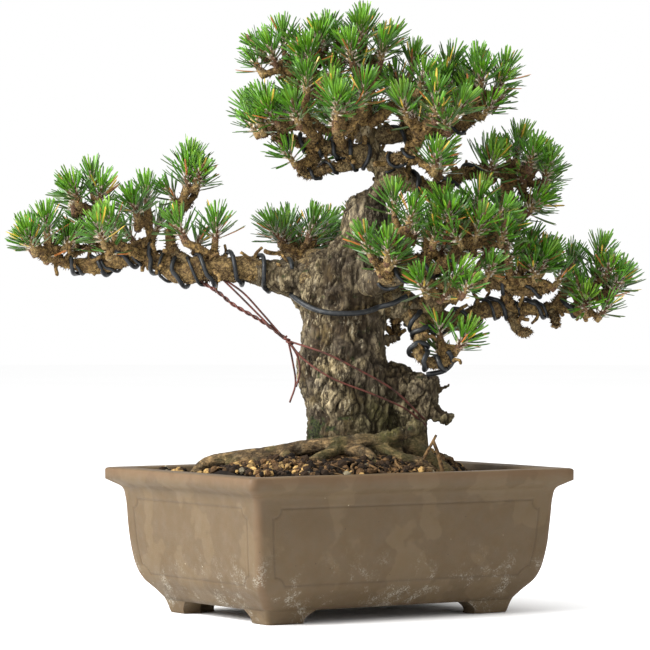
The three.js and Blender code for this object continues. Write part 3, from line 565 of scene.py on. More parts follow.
def round_turns(count, generator):
    """Evenly spread rotations: matrices of random unit quaternions."""
    w, x, y, z = unit(generator.normal(size=(count, 4))).T
    return np.stack([
        np.stack([1 - 2 * (y * y + z * z), 2 * (x * y - z * w), 2 * (x * z + y * w)], axis=-1),
        np.stack([2 * (x * y + z * w), 1 - 2 * (x * x + z * z), 2 * (y * z - x * w)], axis=-1),
        np.stack([2 * (x * z - y * w), 2 * (y * z + x * w), 1 - 2 * (x * x + y * y)], axis=-1),
    ], axis=1)


def lumps(centres, sizes, generator):
    """Angular lumps: a ball of three rings and two poles, each vertex moved in or out at random, each
    lump squashed along its axes and turned at random."""
    tilt = np.radians([40, 90, 140])[:, None]
    turn = np.radians(np.arange(0, 360, 60))[None]
    ball = np.stack([np.sin(tilt) * np.cos(turn), np.sin(tilt) * np.sin(turn),
                     -np.cos(tilt) + 0 * turn], axis=-1).reshape(-1, 3)
    ball = np.vstack([ball, [[0, 0, -1], [0, 0, 1]]])
    count = len(centres)
    radius = generator.uniform(0.82, 1.12, (count, len(ball), 1))
    squash = generator.uniform(0.7, 1.1, (count, 1, 3))
    shaped = ball[None] * radius * squash * sizes[:, None, None]
    places = np.einsum("nij,npj->npi", round_turns(count, generator), shaped) + centres[:, None]
    return closed_grid(places[:, :-2].reshape(count, 3, 6, 3), places[:, -2:])


def deal(piece, face_owner, tint_of_owner):
    """Each face takes the material of the lump, needle or twig that it belongs to."""
    piece.data.polygons.foreach_set("material_index", tint_of_owner[face_owner].astype(np.int32))


def earth(name, colour):
    """Dry crumbly clay: the colour broken by fine noise, darker in its pores."""
    crumb = Finish(name, 0.95, specular=0.15)
    dark = tuple(channel * 0.55 for channel in colour)
    mixed = crumb.blend(crumb.spots(0.3, 0.62, 0.0012, 4.0, 0.65), dark, colour)
    mixed = crumb.blend(crumb.spots(0.35, 0.7, 0.012, 2.0), mixed, dark)
    return crumb.wear(mixed, crumb.relief(crumb.noise(0.00072), 0.0004))


finish_piece(pot_piece("soil_bed", soil_bed()), "soil", [earth("humus", HUMUS)], "soil")

grain_draw = np.random.default_rng(GRAIN_SEED)
spread = grain_draw.uniform(-1, 1, (GRAIN_COUNT, 2)) * (SOIL_HALF - GRAIN_ROOM)
grain_sizes = grain_draw.uniform(*GRAIN_SIZES, GRAIN_COUNT) * grain_draw.uniform(0.75, 1.0, GRAIN_COUNT)
grain_up = soil_top(spread) + grain_sizes * grain_draw.uniform(*GRAIN_SUNK, GRAIN_COUNT)
grain_middles = np.column_stack([spread, grain_up]) + pot_middle
grains = mesh_piece("soil_grains", *lumps(grain_middles, grain_sizes, grain_draw), smooth=False)
pale_tint, dark_tint = (grain_draw.choice(len(GRAIN_TINTS), GRAIN_COUNT, p=shares)
                        for shares in (PALE_SHARES, DARK_SHARES))
tint = np.where(soft_noise(grain_middles, TINT_PITCH, 71) > PALE_ABOVE, pale_tint, dark_tint)
deal(grains, np.tile(np.repeat(np.arange(GRAIN_COUNT), LUMP_FACES), 2), tint)
finish_piece(grains, "soil", [earth(name, colour) for name, colour in GRAIN_TINTS.items()])

# Trunk
# One thick leaning stem with a swelling and a cut stub at the right and roots that spread over the
# soil. Old bark in thick plates, cracked deep between them, mossy at the foot.
TRUNK_RINGS = mm([
    [100, -27, 46, -36, 34], [112, -25.5, 42, -32, 30], [122, -24.5, 38, -29, 28],
    [140, -24, 36, -27, 26], [158, -29, 35, -27, 26], [174, -28, 34, -27, 26], [190, -24, 32, -26, 25],
    [208, -23, 33, -26, 25], [226, -33, 36, -25, 25], [244, -25, 38, -23, 24], [256, -8, 38, -21, 22],
    [266, 1, 36, -18, 19], [278, 4, 34, -16, 17], [288, 7, 33, -14, 15], [295, 20, 37, -10, 11],
    [304, 26, 40, -8, 9], [314, 24, 39, -7, 8], [326, 17, 30, -6, 7], [342, 14, 24, -5, 5],
    [358, 15, 21, -3.5, 3.5], [368, 16, 20, -2, 2],
])
TRUNK_RIDGE = 0.05
RIB_HEIGHT = 0.0028
RIB_PITCH = np.array([0.014, 0.014, 0.036])
RIB_THICK = 0.050
TRUNK_COLUMNS = 96
TRUNK_STEP = 0.002
LOBE_STEP = 0.003
LOBE_COLUMNS = 24
# Swelling, stub and roots: the points that each passes through, and its radius along it
TRUNK_LOBES = [
    ([[22, 2, 164], [46, 0, 153], [50.5, 0, 130], [54, 0, 98]], [13, 17, 11, 11]),
    ([[48, 0, 153], [60, -2, 154], [69, -3, 153.5]], [15, 13.5, 10.5]),
    ([[58, -6, 144.5], [68, -9, 139.5], [76.5, -11, 134.5]], [7.5, 4.5, 4]),
    ([[66, -4, 154], [73, -5, 156.5], [77.5, -6, 159]], [4, 2, 1.6]),
    ([[-10, 0, 232], [-35, -2, 234], [-68, -5, 240]], [14.5, 12.2, 7.4]),
    ([[24, 0, 222], [48, -4, 214], [68, -5.5, 205]], [12.5, 10.8, 6.8]),
    ([[16, -12, 228], [32, -36, 232], [45, -53, 236]], [11, 8, 4.8]),
    ([[28, 0, 303], [43, -6, 303], [58, -8, 297]], [9, 7.6, 5.4]),
    ([[29, 0, 313], [17, -6, 320], [0, -8, 323]], [7, 6.4, 4.6]),
    ([[24, -6, 190], [34, -10, 190.5], [43, -11, 192]], [5, 2.8, 2.2]),
    ([[56, -22, 131], [36, -34, 123.4], [10, -37, 120.6], [-24, -35, 116.6], [-49, -31, 112],
     [-75, -28, 108.6], [-88, -26, 106.6], [-95, -26, 103.6], [-102, -25, 96]],
     [5.4, 4.8, 4.6, 4.8, 5.2, 5, 5.2, 4.6, 3]),
    ([[-14, -12, 108], [-38, -20, 104], [-64, -24, 100]], [9, 6, 4]),
    ([[2, -36, 116.5], [20, -47, 112], [26, -53, 101]], [4.2, 4.4, 4]),
    ([[2, -38, 115.5], [-10, -47, 111.5], [-29, -53, 101]], [3.4, 4, 3.6]),
    ([[-78, -34, 105], [-58, -41, 108.5], [-40, -48, 103]], [2.8, 4, 3.6]),
    ([[-34, -34, 114], [-37, -45, 109], [-36, -53, 101]], [4.4, 5, 4]),
    ([[24, -34, 119], [43, -42, 110.5], [58, -45, 106.5], [66, -47, 100]], [3.6, 3.4, 3.2, 2.8]),
    ([[-10, 12, 111], [-34, 30, 106], [-58, 46, 99]], [9, 6, 4.5]),
    ([[4, -18, 116], [10, -34, 107], [18, -50, 99]], [10, 6, 4]),
    ([[34, -16, 118], [40, -32, 109], [50, -44, 98]], [10, 6, 4]),
    ([[46, -4, 116], [64, -14, 106], [80, -22, 97]], [11, 6, 4]),
    ([[30, 14, 118], [46, 38, 109], [60, 54, 99]], [10, 6, 4.5]),
]
SKIN_VOXEL = 0.0011
SKIN_ROUNDS = 6
PLATE_SIZE = np.array([0.0094, 0.0094, 0.0290])
FLAKE_SIZE = np.array([0.0038, 0.0038, 0.0120])
PLATE_DEPTH = 0.0027
FLAKE_DEPTH = 0.0009
CRACK_WIDTH = 0.19
FINE_CRACK_WIDTH = 0.24
CRACK_PITCH = 0.019
PLATE_BENDS = [(0.0040, 0.013, 61), (0.0014, 0.0045, 66)]
BARK_LUMPS = [(0.0014, 0.008, 64), (0.0008, 0.0026, 65)]
KNOT = mm([-1, -24, 218])
CALLUS_HEIGHT = 0.0034
CALLUS_REACH = 0.0065
CALLUS_WIDTH = 0.0022
SCAR_DEPTH = 0.0035
SCAR_WIDTH = 0.004
MOSS_SPOT = mm([-15, -26, 124])
MOSS_REACH = 0.014
MOSS_SQUASH = [0.8, 0.5, 1.1]
MOSS_PITCH = 0.0035
LICHEN_SPOT = mm([28, -24, 136])
LICHEN_REACH = 0.013
LICHEN_SQUASH = [0.8, 0.5, 1.0]
PATCH_PITCH = 0.012
ROOT_MIDDLE = mm([8, 0])
# How much of the bark's relief each calmer part of the trunk loses
SLIM_CALM = 0.75
ROOT_CALM = 0.90
LIMB_CALM = 0.62
# Belts over which a mark fades in, from none to full
SLIM_UP = (0.300, 0.345)
ROOT_OUT = (0.030, 0.040)
ROOT_DOWN = (0.130, 0.122)
LIMB_OUT = (0.001, 0.010)
LIMB_UP = (0.180, 0.195)
GREEN_DOWN = (0.165, 0.125)
SHADE_RIGHT = (-0.012, 0.016)
SHADE_DOWN = (0.225, 0.205)
SHOULDER_UP = (0.203, 0.220)
SHOULDER_DOWN = (0.282, 0.258)
FOOT_DOWN = (0.156, 0.128)


def in_pot(places):
    """From the tree's own frame to the plant's: turned about the upright and moved over the pot."""
    turn = np.array([[np.cos(TREE_TURN), np.sin(TREE_TURN), 0],
                     [-np.sin(TREE_TURN), np.cos(TREE_TURN), 0], [0, 0, 1]])
    return places @ turn + pot_middle


def square_to(way, vectors):
    """Vectors of length one, square to a way of length one and as near to the given ones as can be."""
    return unit(vectors - np.sum(vectors * way, axis=-1, keepdims=True) * way)


def carried_frames(paths):
    """Two directions square to each path at every row, carried along it without twist."""
    ahead = unit(np.gradient(paths, axis=1))
    upright = np.abs(ahead[:, 0, 2:]) > 0.9
    side = unit(np.cross(ahead[:, 0], np.where(upright, [1.0, 0, 0], [0, 0, 1.0])))
    sides = []
    for row in range(paths.shape[1]):
        side = square_to(ahead[:, row], side)
        sides.append(side)
    sides = np.stack(sides, axis=1)
    return sides, np.cross(ahead, sides)


def around(side, up, turn):
    """Directions that turn from side towards up: side cos(turn) + up sin(turn)."""
    return side * np.cos(turn)[..., None] + up * np.sin(turn)[..., None]


def full_turn(count):
    """Even angles round a circle."""
    return 2 * np.pi * np.arange(count) / count


def tubes(paths, radii, columns, relief=None):
    """Closed tubes, paths as (count, rows, 3): at every row a circle of the row's radius, square to the
    path, each vertex pushed out by relief of its place, and a fan over each end."""
    side, up = carried_frames(paths)
    out = around(side[:, :, None], up[:, :, None], full_turn(columns))
    rings = paths[:, :, None] + out * radii[:, :, None, None]
    if relief is not None:
        rings = rings + out * relief(rings, radii[:, :, None])[..., None]
    return closed_grid(rings, paths[:, [0, -1]])


def rod(path, radii, columns, relief=None):
    """One tube, with one radius or a radius for each point of its path."""
    return tubes(path[None], np.broadcast_to(radii, len(path))[None], columns, relief)


def limb_path(points, thick, step):
    """A limb's centre line at even steps and its radius there, even between the values given, from
    points and radii in millimetres."""
    path = through(mm(points), step)
    place = np.linspace(0, len(thick) - 1, len(path))
    return path, np.interp(place, np.arange(len(thick)), mm(thick))


def joined(bodies):
    """Several bodies of vertices and faces as one."""
    starts = np.cumsum([0, *(len(body[0]) for body in bodies)])
    faces = (np.vstack([body[kind] + start for body, start in zip(bodies, starts)])
             for kind in range(1, len(bodies[0])))
    return np.vstack([body[0] for body in bodies]), *faces


def tree_piece(name, *bodies, smooth=True):
    """A mesh of one or more bodies, moved from the tree's own frame to the plant's."""
    points, *faces = joined(bodies)
    return mesh_piece(name, in_pot(points), *faces, smooth=smooth)


def stem_edges(levels):
    """Left, right, front and back edges of the stem at some heights."""
    return [np.interp(levels, TRUNK_RINGS[:, 0], edge) for edge in TRUNK_RINGS.T[1:]]


def trunk_stem():
    """The stem: at every height an ellipse between the left, right, front and back edges, with three
    ridges that wind slowly round it."""
    rings = through(TRUNK_RINGS, TRUNK_STEP)
    up, left, right, front, back = rings.T[..., None]
    angle = full_turn(TRUNK_COLUMNS)[None]
    ring_number = np.interp(up, TRUNK_RINGS[:, 0], np.arange(len(TRUNK_RINGS)))
    ridge = 1 + TRUNK_RIDGE * np.sin(3 * angle + 0.6 * ring_number)
    x = (left + right) / 2 + (right - left) / 2 * ridge * np.cos(angle)
    y = (front + back) / 2 + (back - front) / 2 * ridge * np.sin(angle)
    places = np.stack([x, y, up + 0 * angle], axis=-1)
    rise = RIB_HEIGHT * np.minimum(1, (right - left) / RIB_THICK) * soft_noise(places, RIB_PITCH, 0)
    places[..., 0] += rise * np.cos(angle)
    places[..., 1] += rise * np.sin(angle)
    return closed_grid(places[None], places[[0, -1]].mean(axis=1)[None])


def cells(places, size, seed):
    """Distances to the nearest and second nearest of points scattered one to a cell, and a number
    between 0 and 1 that is the same all over the nearest one's plate."""
    scaled = places / size
    cell = np.floor(scaled).astype(np.int64)
    nearest = np.full(len(places), 9.0)
    second = np.full(len(places), 9.0)
    plate = np.zeros(len(places))
    for step in np.ndindex(3, 3, 3):
        here = cell + np.array(step) - 1
        jitter = np.stack([lattice_value(here, seed + axis) for axis in range(3)], axis=-1)
        distance = np.linalg.norm(here + jitter - scaled, axis=-1)
        closer = distance < nearest
        second = np.where(closer, nearest, np.minimum(second, distance))
        plate = np.where(closer, lattice_value(here, seed + 7), plate)
        nearest = np.minimum(nearest, distance)
    return nearest, second, plate


def fused_skin(piece, voxel, rounds):
    """The overlapping bodies of a piece become one closed skin, by voxels, and are smoothed."""
    remesh = piece.modifiers.new("skin", "REMESH")
    remesh.mode = "VOXEL"
    remesh.voxel_size = voxel
    smooth = piece.modifiers.new("smooth", "SMOOTH")
    smooth.factor = 0.5
    smooth.iterations = rounds
    evaluated = piece.evaluated_get(bpy.context.evaluated_depsgraph_get())
    skin = bpy.data.meshes.new_from_object(evaluated)
    piece.modifiers.clear()
    piece.data = skin
    skin.polygons.foreach_set("use_smooth", np.full(len(skin.polygons), True))
    count = len(skin.vertices)
    places = np.empty(count * 3, dtype=np.float32)
    normals = np.empty(count * 3, dtype=np.float32)
    skin.vertices.foreach_get("co", places)
    skin.vertices.foreach_get("normal", normals)
    return places.reshape(-1, 3).astype(float), normals.reshape(-1, 3).astype(float)


def noise_vector(places, pitch, seed):
    """Three noises of consecutive seeds, as a vector."""
    return np.stack([soft_noise(places, pitch, seed + axis) for axis in range(3)], axis=-1)


def plated_relief(places):
    """Bark height at each place, in metres: plates set apart by cracks where the two nearest plate
    points are equally far, each plate with a height of its own, finer flakes on them, and lumps."""
    bent = places
    for reach, pitch, seed in PLATE_BENDS:
        bent = bent + reach * noise_vector(places, pitch, seed)
    first, second, plate = cells(bent, PLATE_SIZE, 71)
    crack = 1 - smooth_step(0, CRACK_WIDTH, second - first)
    fine_first, fine_second, flake = cells(bent, FLAKE_SIZE, 81)
    fine_crack = 1 - smooth_step(0, FINE_CRACK_WIDTH, fine_second - fine_first)
    crack = crack * (0.35 + 0.65 * smooth_step(-0.5, 0.4, soft_noise(places, CRACK_PITCH, 69)))
    height = PLATE_DEPTH * (0.40 * plate - crack - 0.02)
    height += FLAKE_DEPTH * (0.9 * flake - 0.7 * fine_crack - 0.2)
    height += layered(places, BARK_LUMPS)
    return height, np.maximum(crack, 0.75 * fine_crack), 0.55 * plate + 0.45 * flake


def old_bark():
    """Grey-tan plates over a dark brown ground, each plate with its own tone, with pale lichen, dark
    green moss where the mesh says so, and fibres along the grain."""
    bark = Finish("old_bark", 0.92, specular=0.2)
    upright = bark.stretched(1.0, 1.0, 0.4)
    drawn = bark.stretched(1.0, 1.0, 0.22)
    lengthwise = bark.stretched(0.3, 1.0, 1.0, TREE_TURN)
    colour = bark.blend(bark.between(bark.read("plate"), 0.15, 0.9), (62, 49, 32), (172, 156, 122))
    colour = bark.blend(bark.spots(0.38, 0.60, 0.0024, 5.0, 0.75, upright), (40, 30, 17), colour)
    colour = bark.coat(colour, bark.spots(0.48, 0.66, 0.011, 3.0, 0.6), 0.45, (94, 80, 48))
    colour = bark.coat(colour, bark.spots(0.47, 0.62, 0.024, 2.0, 0.6), 0.4, (100, 92, 80))
    colour = bark.coat(colour, bark.spots(0.57, 0.68, 0.0042, 4.0, 0.75, upright), 0.65, (190, 178, 150))
    grain = bark.spots(0.38, 0.62, 0.0030, 5.0, 0.75, lengthwise)
    rooty = bark.blend(grain, (58, 43, 28), (156, 128, 88))
    rooty = bark.coat(rooty, bark.spots(0.46, 0.60, 0.008, 4.0, 0.65), 0.8, (36, 26, 16))
    colour = bark.coat(colour, bark.read("root"), 0.8, rooty)
    colour = bark.coat(colour, bark.read("lichen"), 0.5, (96, 100, 50))
    colour = bark.coat(colour, bark.read("crack"), 0.94, (18, 12, 6))
    streak = bark.spots(0.455, 0.405, 0.0046, 5.0, 0.8, drawn)
    streak = bark.times(streak, bark.between(bark.read("root"), 1.0, 0.3))
    colour = bark.coat(colour, streak, 0.85, (24, 17, 9))
    # Painted shade: the trunk is darkened on its shaded right side, and also in a band at the boughs'
    # height and towards the foot, where the mesh marks it
    colour = bark.coat(colour, bark.read("damp"), 0.70, (38, 29, 16))
    mossy = bark.blend(bark.spots(0.42, 0.58, 0.0018, 3.0, 0.7), (12, 14, 8), (44, 52, 22))
    colour = bark.blend(bark.read("moss"), colour, mossy)
    normal = bark.relief(bark.noise(0.0016, 5.0, 0.7, upright), 0.0009)
    normal = bark.relief(bark.noise(0.0050, 4.0, 0.7, drawn), 0.0018, Normal=normal)
    normal = bark.relief(bark.times(grain, bark.read("root")), 0.0012, Normal=normal)
    return bark.wear(colour, normal)


def spot(places, middle, squash, reach):
    """A soft spot: exp(-(d / reach)^2), where d is the distance in a squashed space."""
    return np.exp(-(np.linalg.norm((places - middle) * squash, axis=1) / reach) ** 2)


lobes = [rod(*limb_path(*lobe, LOBE_STEP), LOBE_COLUMNS) for lobe in TRUNK_LOBES]
trunk = mesh_piece("trunk_bark", *joined([trunk_stem(), *lobes]))
places, normals = fused_skin(trunk, SKIN_VOXEL, SKIN_ROUNDS)
across, depth, up = places.T
height, crack, plate = plated_relief(places)
slim = smooth_step(*SLIM_UP, up)
from_stem = np.linalg.norm((places[:, :2] - ROOT_MIDDLE) * [0.8, 1.2], axis=1)
root_share = smooth_step(*ROOT_OUT, from_stem) * smooth_step(*ROOT_DOWN, up)
left, right, front, _ = stem_edges(up)
beyond = np.max([left - across, across - right, front - depth], axis=0)
limb_share = smooth_step(*LIMB_OUT, beyond) * smooth_step(*LIMB_UP, up)
calm = 1 - np.max([SLIM_CALM * slim, ROOT_CALM * root_share, LIMB_CALM * limb_share], axis=0)
from_knot = np.linalg.norm((places - KNOT) * [1, 0.5, 0.8], axis=1)
callus = CALLUS_HEIGHT * np.exp(-((from_knot - CALLUS_REACH) / CALLUS_WIDTH) ** 2)
callus = callus - SCAR_DEPTH * np.exp(-(from_knot / SCAR_WIDTH) ** 2)
points = places + normals * (height * calm + callus)[:, None]
trunk.data.vertices.foreach_set("co", in_pot(points).astype(np.float32).ravel())
trunk.data.update()
moss = spot(places, MOSS_SPOT, MOSS_SQUASH, MOSS_REACH) + 0.8 * soft_noise(places, MOSS_PITCH, 91)
patchy = smooth_step(0, 0.5, soft_noise(places, PATCH_PITCH, 92))
foot_green = 0.5 * smooth_step(*GREEN_DOWN, up) * patchy
# Painted shade: the bark is darkened on its right side below the boughs, where shade falls, and darkened
# too in a band at the boughs' height and towards the foot
shaded_side = smooth_step(*SHADE_RIGHT, across) * smooth_step(*SHADE_DOWN, up)
shoulder = smooth_step(*SHOULDER_UP, up) * smooth_step(*SHOULDER_DOWN, up)
damp = np.max([0.8 * shaded_side, shoulder, smooth_step(*FOOT_DOWN, up)], axis=0)
store(
    trunk,
    crack=crack * (1 - 0.6 * slim) * (1 - 0.75 * root_share) * (1 - 0.4 * limb_share),
    plate=plate,
    damp=damp * (0.65 + 0.35 * soft_noise(places, PATCH_PITCH, 93)) * (1 - 0.8 * root_share),
    root=root_share,
    moss=0.92 * smooth_step(0.45, 0.75, moss) * (1 - root_share),
    lichen=np.clip(spot(places, LICHEN_SPOT, LICHEN_SQUASH, LICHEN_REACH) + foot_green, 0, 1),
)
finish_piece(trunk, "bark", [old_bark()], "trunk")

# Fine roots
# Thin surface roots and dead fibres, matted over the soil round the trunk's foot, and a few broken
# root ends that stand up beside it. They wander as they grow and lie where the soil carries them.
FIBRE_COUNT = 260
FIBRE_ROWS = 20
FIBRE_STEP = 0.0028
FIBRE_RADII = (0.0003, 0.0015)
FIBRE_BELT = (0.030, 0.095)
FIBRE_TURN = 0.45
FIBRE_LIFT = 0.0010
FIBRE_ROOM = 0.004
BELT_DEPTH = 0.62
FIBRE_COLUMNS = 5
FIBRE_SEED = 53
ROOT_END_COLUMNS = 12
ROOT_END_STEP = 0.001
ROOT_ENDS = [
    ([[53.5, -46, 101], [60.5, -45, 113], [67.2, -44, 125.5]], [1.4, 1.2, 0.9]),
    ([[65, -44, 121.5], [68.5, -45, 112], [72, -46, 98]], [1.2, 1.4, 1.6]),
    ([[30, -47, 103], [43, -49, 104], [60, -50, 98]], [1.5, 1.4, 1]),
]


def fibre_paths(generator):
    """Paths over the soil: each starts in a belt round the trunk's foot and takes even steps whose
    heading wanders by small random turns, at the soil's height with a little lift."""
    bearing = generator.uniform(0, 2 * np.pi, FIBRE_COUNT)
    reach = generator.uniform(*FIBRE_BELT, FIBRE_COUNT)
    heading = bearing + generator.normal(0, 0.9, FIBRE_COUNT)
    turns = np.cumsum(generator.normal(0, FIBRE_TURN, (FIBRE_COUNT, FIBRE_ROWS)), axis=1)
    heading = heading[:, None] + turns
    start = MOUND_FOOT + circle(bearing)[:, :2] * reach[:, None] * [1, BELT_DEPTH]
    steps = FIBRE_STEP * circle(heading)[..., :2]
    flat = start[:, None] + np.cumsum(steps, axis=1)
    flat = np.clip(flat, FIBRE_ROOM - SOIL_HALF, SOIL_HALF - FIBRE_ROOM)
    arch = np.sin(np.linspace(0, np.pi, FIBRE_ROWS))
    lift = FIBRE_LIFT * arch * generator.uniform(0.2, 2.0, (FIBRE_COUNT, 1))
    return np.concatenate([flat, (soil_top(flat) + lift)[..., None]], axis=-1)


def root_skin():
    """Dry root: tan skin with dark pores, a little soil on it."""
    skin = Finish("root_skin", 0.9, specular=0.2)
    colour = skin.blend(skin.spots(0.36, 0.62, 0.0035, 4.0, 0.7), (38, 27, 17), (104, 80, 50))
    return skin.wear(colour, skin.relief(skin.noise(0.0012, 4.0), 0.0005))


fibre_draw = np.random.default_rng(FIBRE_SEED)
fibres = fibre_paths(fibre_draw)
fibre_thick = fibre_draw.uniform(0, 1, (FIBRE_COUNT, 1)) ** 2
fibre_radii = FIBRE_RADII[0] + (FIBRE_RADII[1] - FIBRE_RADII[0]) * fibre_thick
fibre_body = tubes(fibres, fibre_radii * np.linspace(1.0, 0.5, FIBRE_ROWS)[None], FIBRE_COLUMNS)
skin_finish = root_skin()
finish_piece(pot_piece("fine_roots", fibre_body), "bark", [skin_finish])
root_bodies = [rod(*limb_path(*end, ROOT_END_STEP), ROOT_END_COLUMNS) for end in ROOT_ENDS]
finish_piece(tree_piece("root_ends", *root_bodies), "bark", [skin_finish])

# Boughs
# Living limbs with thinner bark, lumpy where twigs and old needles sat and shed in small scales. Each
# swells into the trunk at its root and tapers to the masses that it carries.
BOUGHS = {
    "bough_left": ([11.5, 10.8, 9.6, 8.8, 10, 8.2, 6.6, 5.8, 5.2, 4.5, 3.4], [[-8, 0, 232],
        [-35, -2, 234], [-68, -6, 240], [-93, -9, 240], [-110, -9, 238], [-124, -5, 244], [-137, -2, 250],
        [-150, 0, 247], [-166, 2, 242.5], [-187, 0, 243.5], [-202, -3, 248.5]]),
    "bough_left_back": ([5.5, 3], [[-6, 10, 246], [-24, 28, 249], [-34, 48, 251], [-40, 66, 252]]),
    "bough_right": ([9.5, 3], [[24, 0, 222], [48, -4, 214], [70, -6, 204], [86, -6, 204], [100, -4, 211],
        [126, 0, 212], [144, 2, 212], [160, 2, 212], [173, 0, 209]]),
    "bough_front_right": ([6.5, 3.4], [[18, -12, 228], [32, -38, 232], [46, -54, 237], [62, -58, 239],
        [80, -54, 242]]),
    "bough_low_right": ([5.5, 2.8], [[46, -6, 212], [58, -18, 197], [55, -25, 182], [65, -25, 174],
        [79, -22, 176]]),
    "bough_back_right": ([6.5, 3], [[22, 12, 236], [36, 40, 242], [52, 68, 247], [66, 92, 249]]),
    "bough_upper_right": ([7.2, 2.8], [[28, 0, 303], [43, -6, 303], [58, -8, 297], [72, -8, 297],
        [84, -5, 305], [101, 0, 309], [125, 4, 309]]),
    "bough_crown_left": ([6.5, 3], [[28, 0, 313], [16, -6, 320], [2, -8, 323], [-16, -8, 326],
        [-34, -6, 330], [-47, -4, 332]]),
    "bough_crown_front": ([5, 3], [[28, -2, 312], [37, -20, 315], [46, -36, 318], [52, -44, 322]]),
    "bough_crown_right": ([5.5, 2.8], [[22, 2, 332], [45, 8, 334], [70, 12, 337], [86, 9, 340],
        [94, 5, 345]]),
    "bough_crown_back": ([5, 2.8], [[20, 2, 330], [18, 24, 334], [14, 44, 337], [10, 60, 338]]),
    "bough_crown_high": ([4.6, 2.6], [[18, 0, 344], [2, -2, 354], [-18, 2, 364], [-34, 6, 374]]),
    "bough_right_second": ([6, 3], [[58, -8, 212], [71, -12, 219], [82, -14, 227], [96, -14, 231],
        [113, -12, 229], [130, -10, 224], [148, -8, 227]]),
    "spur_hook": ([3, 2.2], [[117, -2, 211], [122.5, -6, 204], [125, -8, 198], [130, -8, 195],
        [133.5, -6, 198]]),
    "spur_low": ([2.6, 1.8], [[149, 0, 211], [151.5, -3, 206], [152, -4, 199]]),
    "spur_crotch": ([2.6, 2.2], [[29, 4, 189.5], [38.5, 6, 191.5], [40.5, 8, 200], [36, 8, 213]]),
    "spur_crown_low": ([4, 2.4], [[20, -2, 317], [6, -8, 312.5], [-7, -12, 310.5], [-19.5, -14, 305],
        [-28, -16, 308.5]]),
    "spur_left": ([3.4, 2.4], [[-100, -9, 238], [-107, -10, 246], [-113, -10, 250], [-116, -9, 257]]),
}
BOUGH_STEP = 0.0011
BOUGH_COLUMNS = 26
OLD_REACH = 0.070
SWELLING = 0.35
SWELL_PLACE = 0.012
SWELL_REACH = 0.010
# Layers of noise: lumps and scales are shares of the limb's radius, and the grit is in metres
LIMB_LUMPS = [(0.22, 0.011, 31), (0.15, 0.0055, 32)]
LIMB_SCALES = [(0.10, 0.0026, 33)]
SMALL_SCALES = [(0.05, 0.0013, 34)]
LIMB_GRIT = [(0.0003, 0.0012, 35)]
BOUGH_END = [0.96, 0.85, 0.65, 0.35]


def scaly_relief(rings, radii):
    """Bark height of young wood: lumps as wide as the limb less the scales between them, both in
    proportion to its radius, and grit of the same height everywhere."""
    scale = np.abs(layered(rings, LIMB_SCALES)) + layered(rings, SMALL_SCALES)
    return radii * (layered(rings, LIMB_LUMPS) - 0.6 * scale) + layered(rings, LIMB_GRIT)


def young_bark():
    """Tan and brown scales with dark joints, and greyer where the mesh says that the wood is old."""
    bark = Finish("young_bark", 0.9, specular=0.2)
    tone = bark.spots(0.36, 0.64, 0.0030, 5.0, 0.75)
    colour = bark.blend(tone, (44, 32, 15), (142, 115, 68))
    colour = bark.coat(colour, bark.spots(0.44, 0.60, 0.009, 3.0, 0.6), 0.5, (86, 64, 40))
    colour = bark.blend(bark.read("age"), colour, bark.blend(tone, (48, 38, 24), (126, 110, 78)))
    joint = bark.between(bark.cells(0.0034, "DISTANCE_TO_EDGE"), 0.11, 0.02)
    colour = bark.coat(colour, joint, 0.6, (42, 30, 20))
    colour = bark.coat(colour, bark.spots(0.58, 0.70, 0.0026, 4.0, 0.75), 0.5, (178, 150, 106))
    normal = bark.relief(bark.noise(0.0016, 5.0, 0.75), 0.0008)
    return bark.wear(colour, bark.relief(bark.cells(0.0026), 0.0004, Normal=normal))


twig_bark = young_bark()
bough_lines = {}
for bough_name, (thick, bough_points) in BOUGHS.items():
    path, radii = limb_path(bough_points, thick, BOUGH_STEP)
    bough_lines[bough_name] = (path, radii)
    from_root = np.arange(len(path)) * BOUGH_STEP
    flared = radii * (1 + SWELLING * np.exp(-((from_root - SWELL_PLACE) / SWELL_REACH) ** 2))
    flared[-len(BOUGH_END):] *= BOUGH_END
    bough = tree_piece(f"{bough_name}_bark", rod(path, flared, BOUGH_COLUMNS, scaly_relief))
    age = np.repeat(np.exp(-from_root / OLD_REACH), BOUGH_COLUMNS)
    store(bough, age=np.append(age, [1, 0]))
    finish_piece(bough, "twig_bark", [twig_bark], *({bough_name} & set(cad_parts)))

# Training wires
# Dark anodised aluminium wire, wound by hand round the boughs to set their bend, with thinner wire on
# the crown's boughs, and one anchor ring round the trunk. The turns stand a little off the bark.
SPIRALS = [
    ("wire_crown_left", "bough_crown_left", 0.10, 0.95, 6, 0.0015, 40),
    ("wire_crown_right", "bough_crown_right", 0.15, 0.90, 3, 0.0013, 150),
    ("wire_crown_front", "bough_crown_front", 0.20, 0.95, 2, 0.0012, 80),
    ("wire_front_right", "bough_front_right", 0.35, 0.98, 3, 0.0013, 10),
    ("wire_left_thin", "bough_left", 0.42, 0.97, 5, 0.0011, 20),
    ("wire_left_bough", "bough_left", 0.13, 0.93, 8, 0.0016, 200),
    ("wire_right_bough", "bough_right", 0.30, 0.95, 4, 0.0015, 30),
    ("wire_right_thin", "bough_right", 0.50, 0.98, 4, 0.0011, 170),
    ("wire_upper_right", "bough_upper_right", 0.14, 0.80, 3, 0.0014, 120),
    ("wire_low_right", "bough_low_right", 0.10, 0.90, 5, 0.0018, 60),
    ("wire_right_second", "bough_right_second", 0.20, 0.92, 3, 0.0014, 100),
    ("wire_crown_low", "spur_crown_low", 0.15, 0.95, 3, 0.0012, 30),
]
LOOSE_END = mm([[76, -26, 183], [79, -24, 176], [73.5, -21, 169.5], [61.5, -17, 166.5]])
LOOSE_RADIUS = 0.0018
RING_SWEEP = 0.011
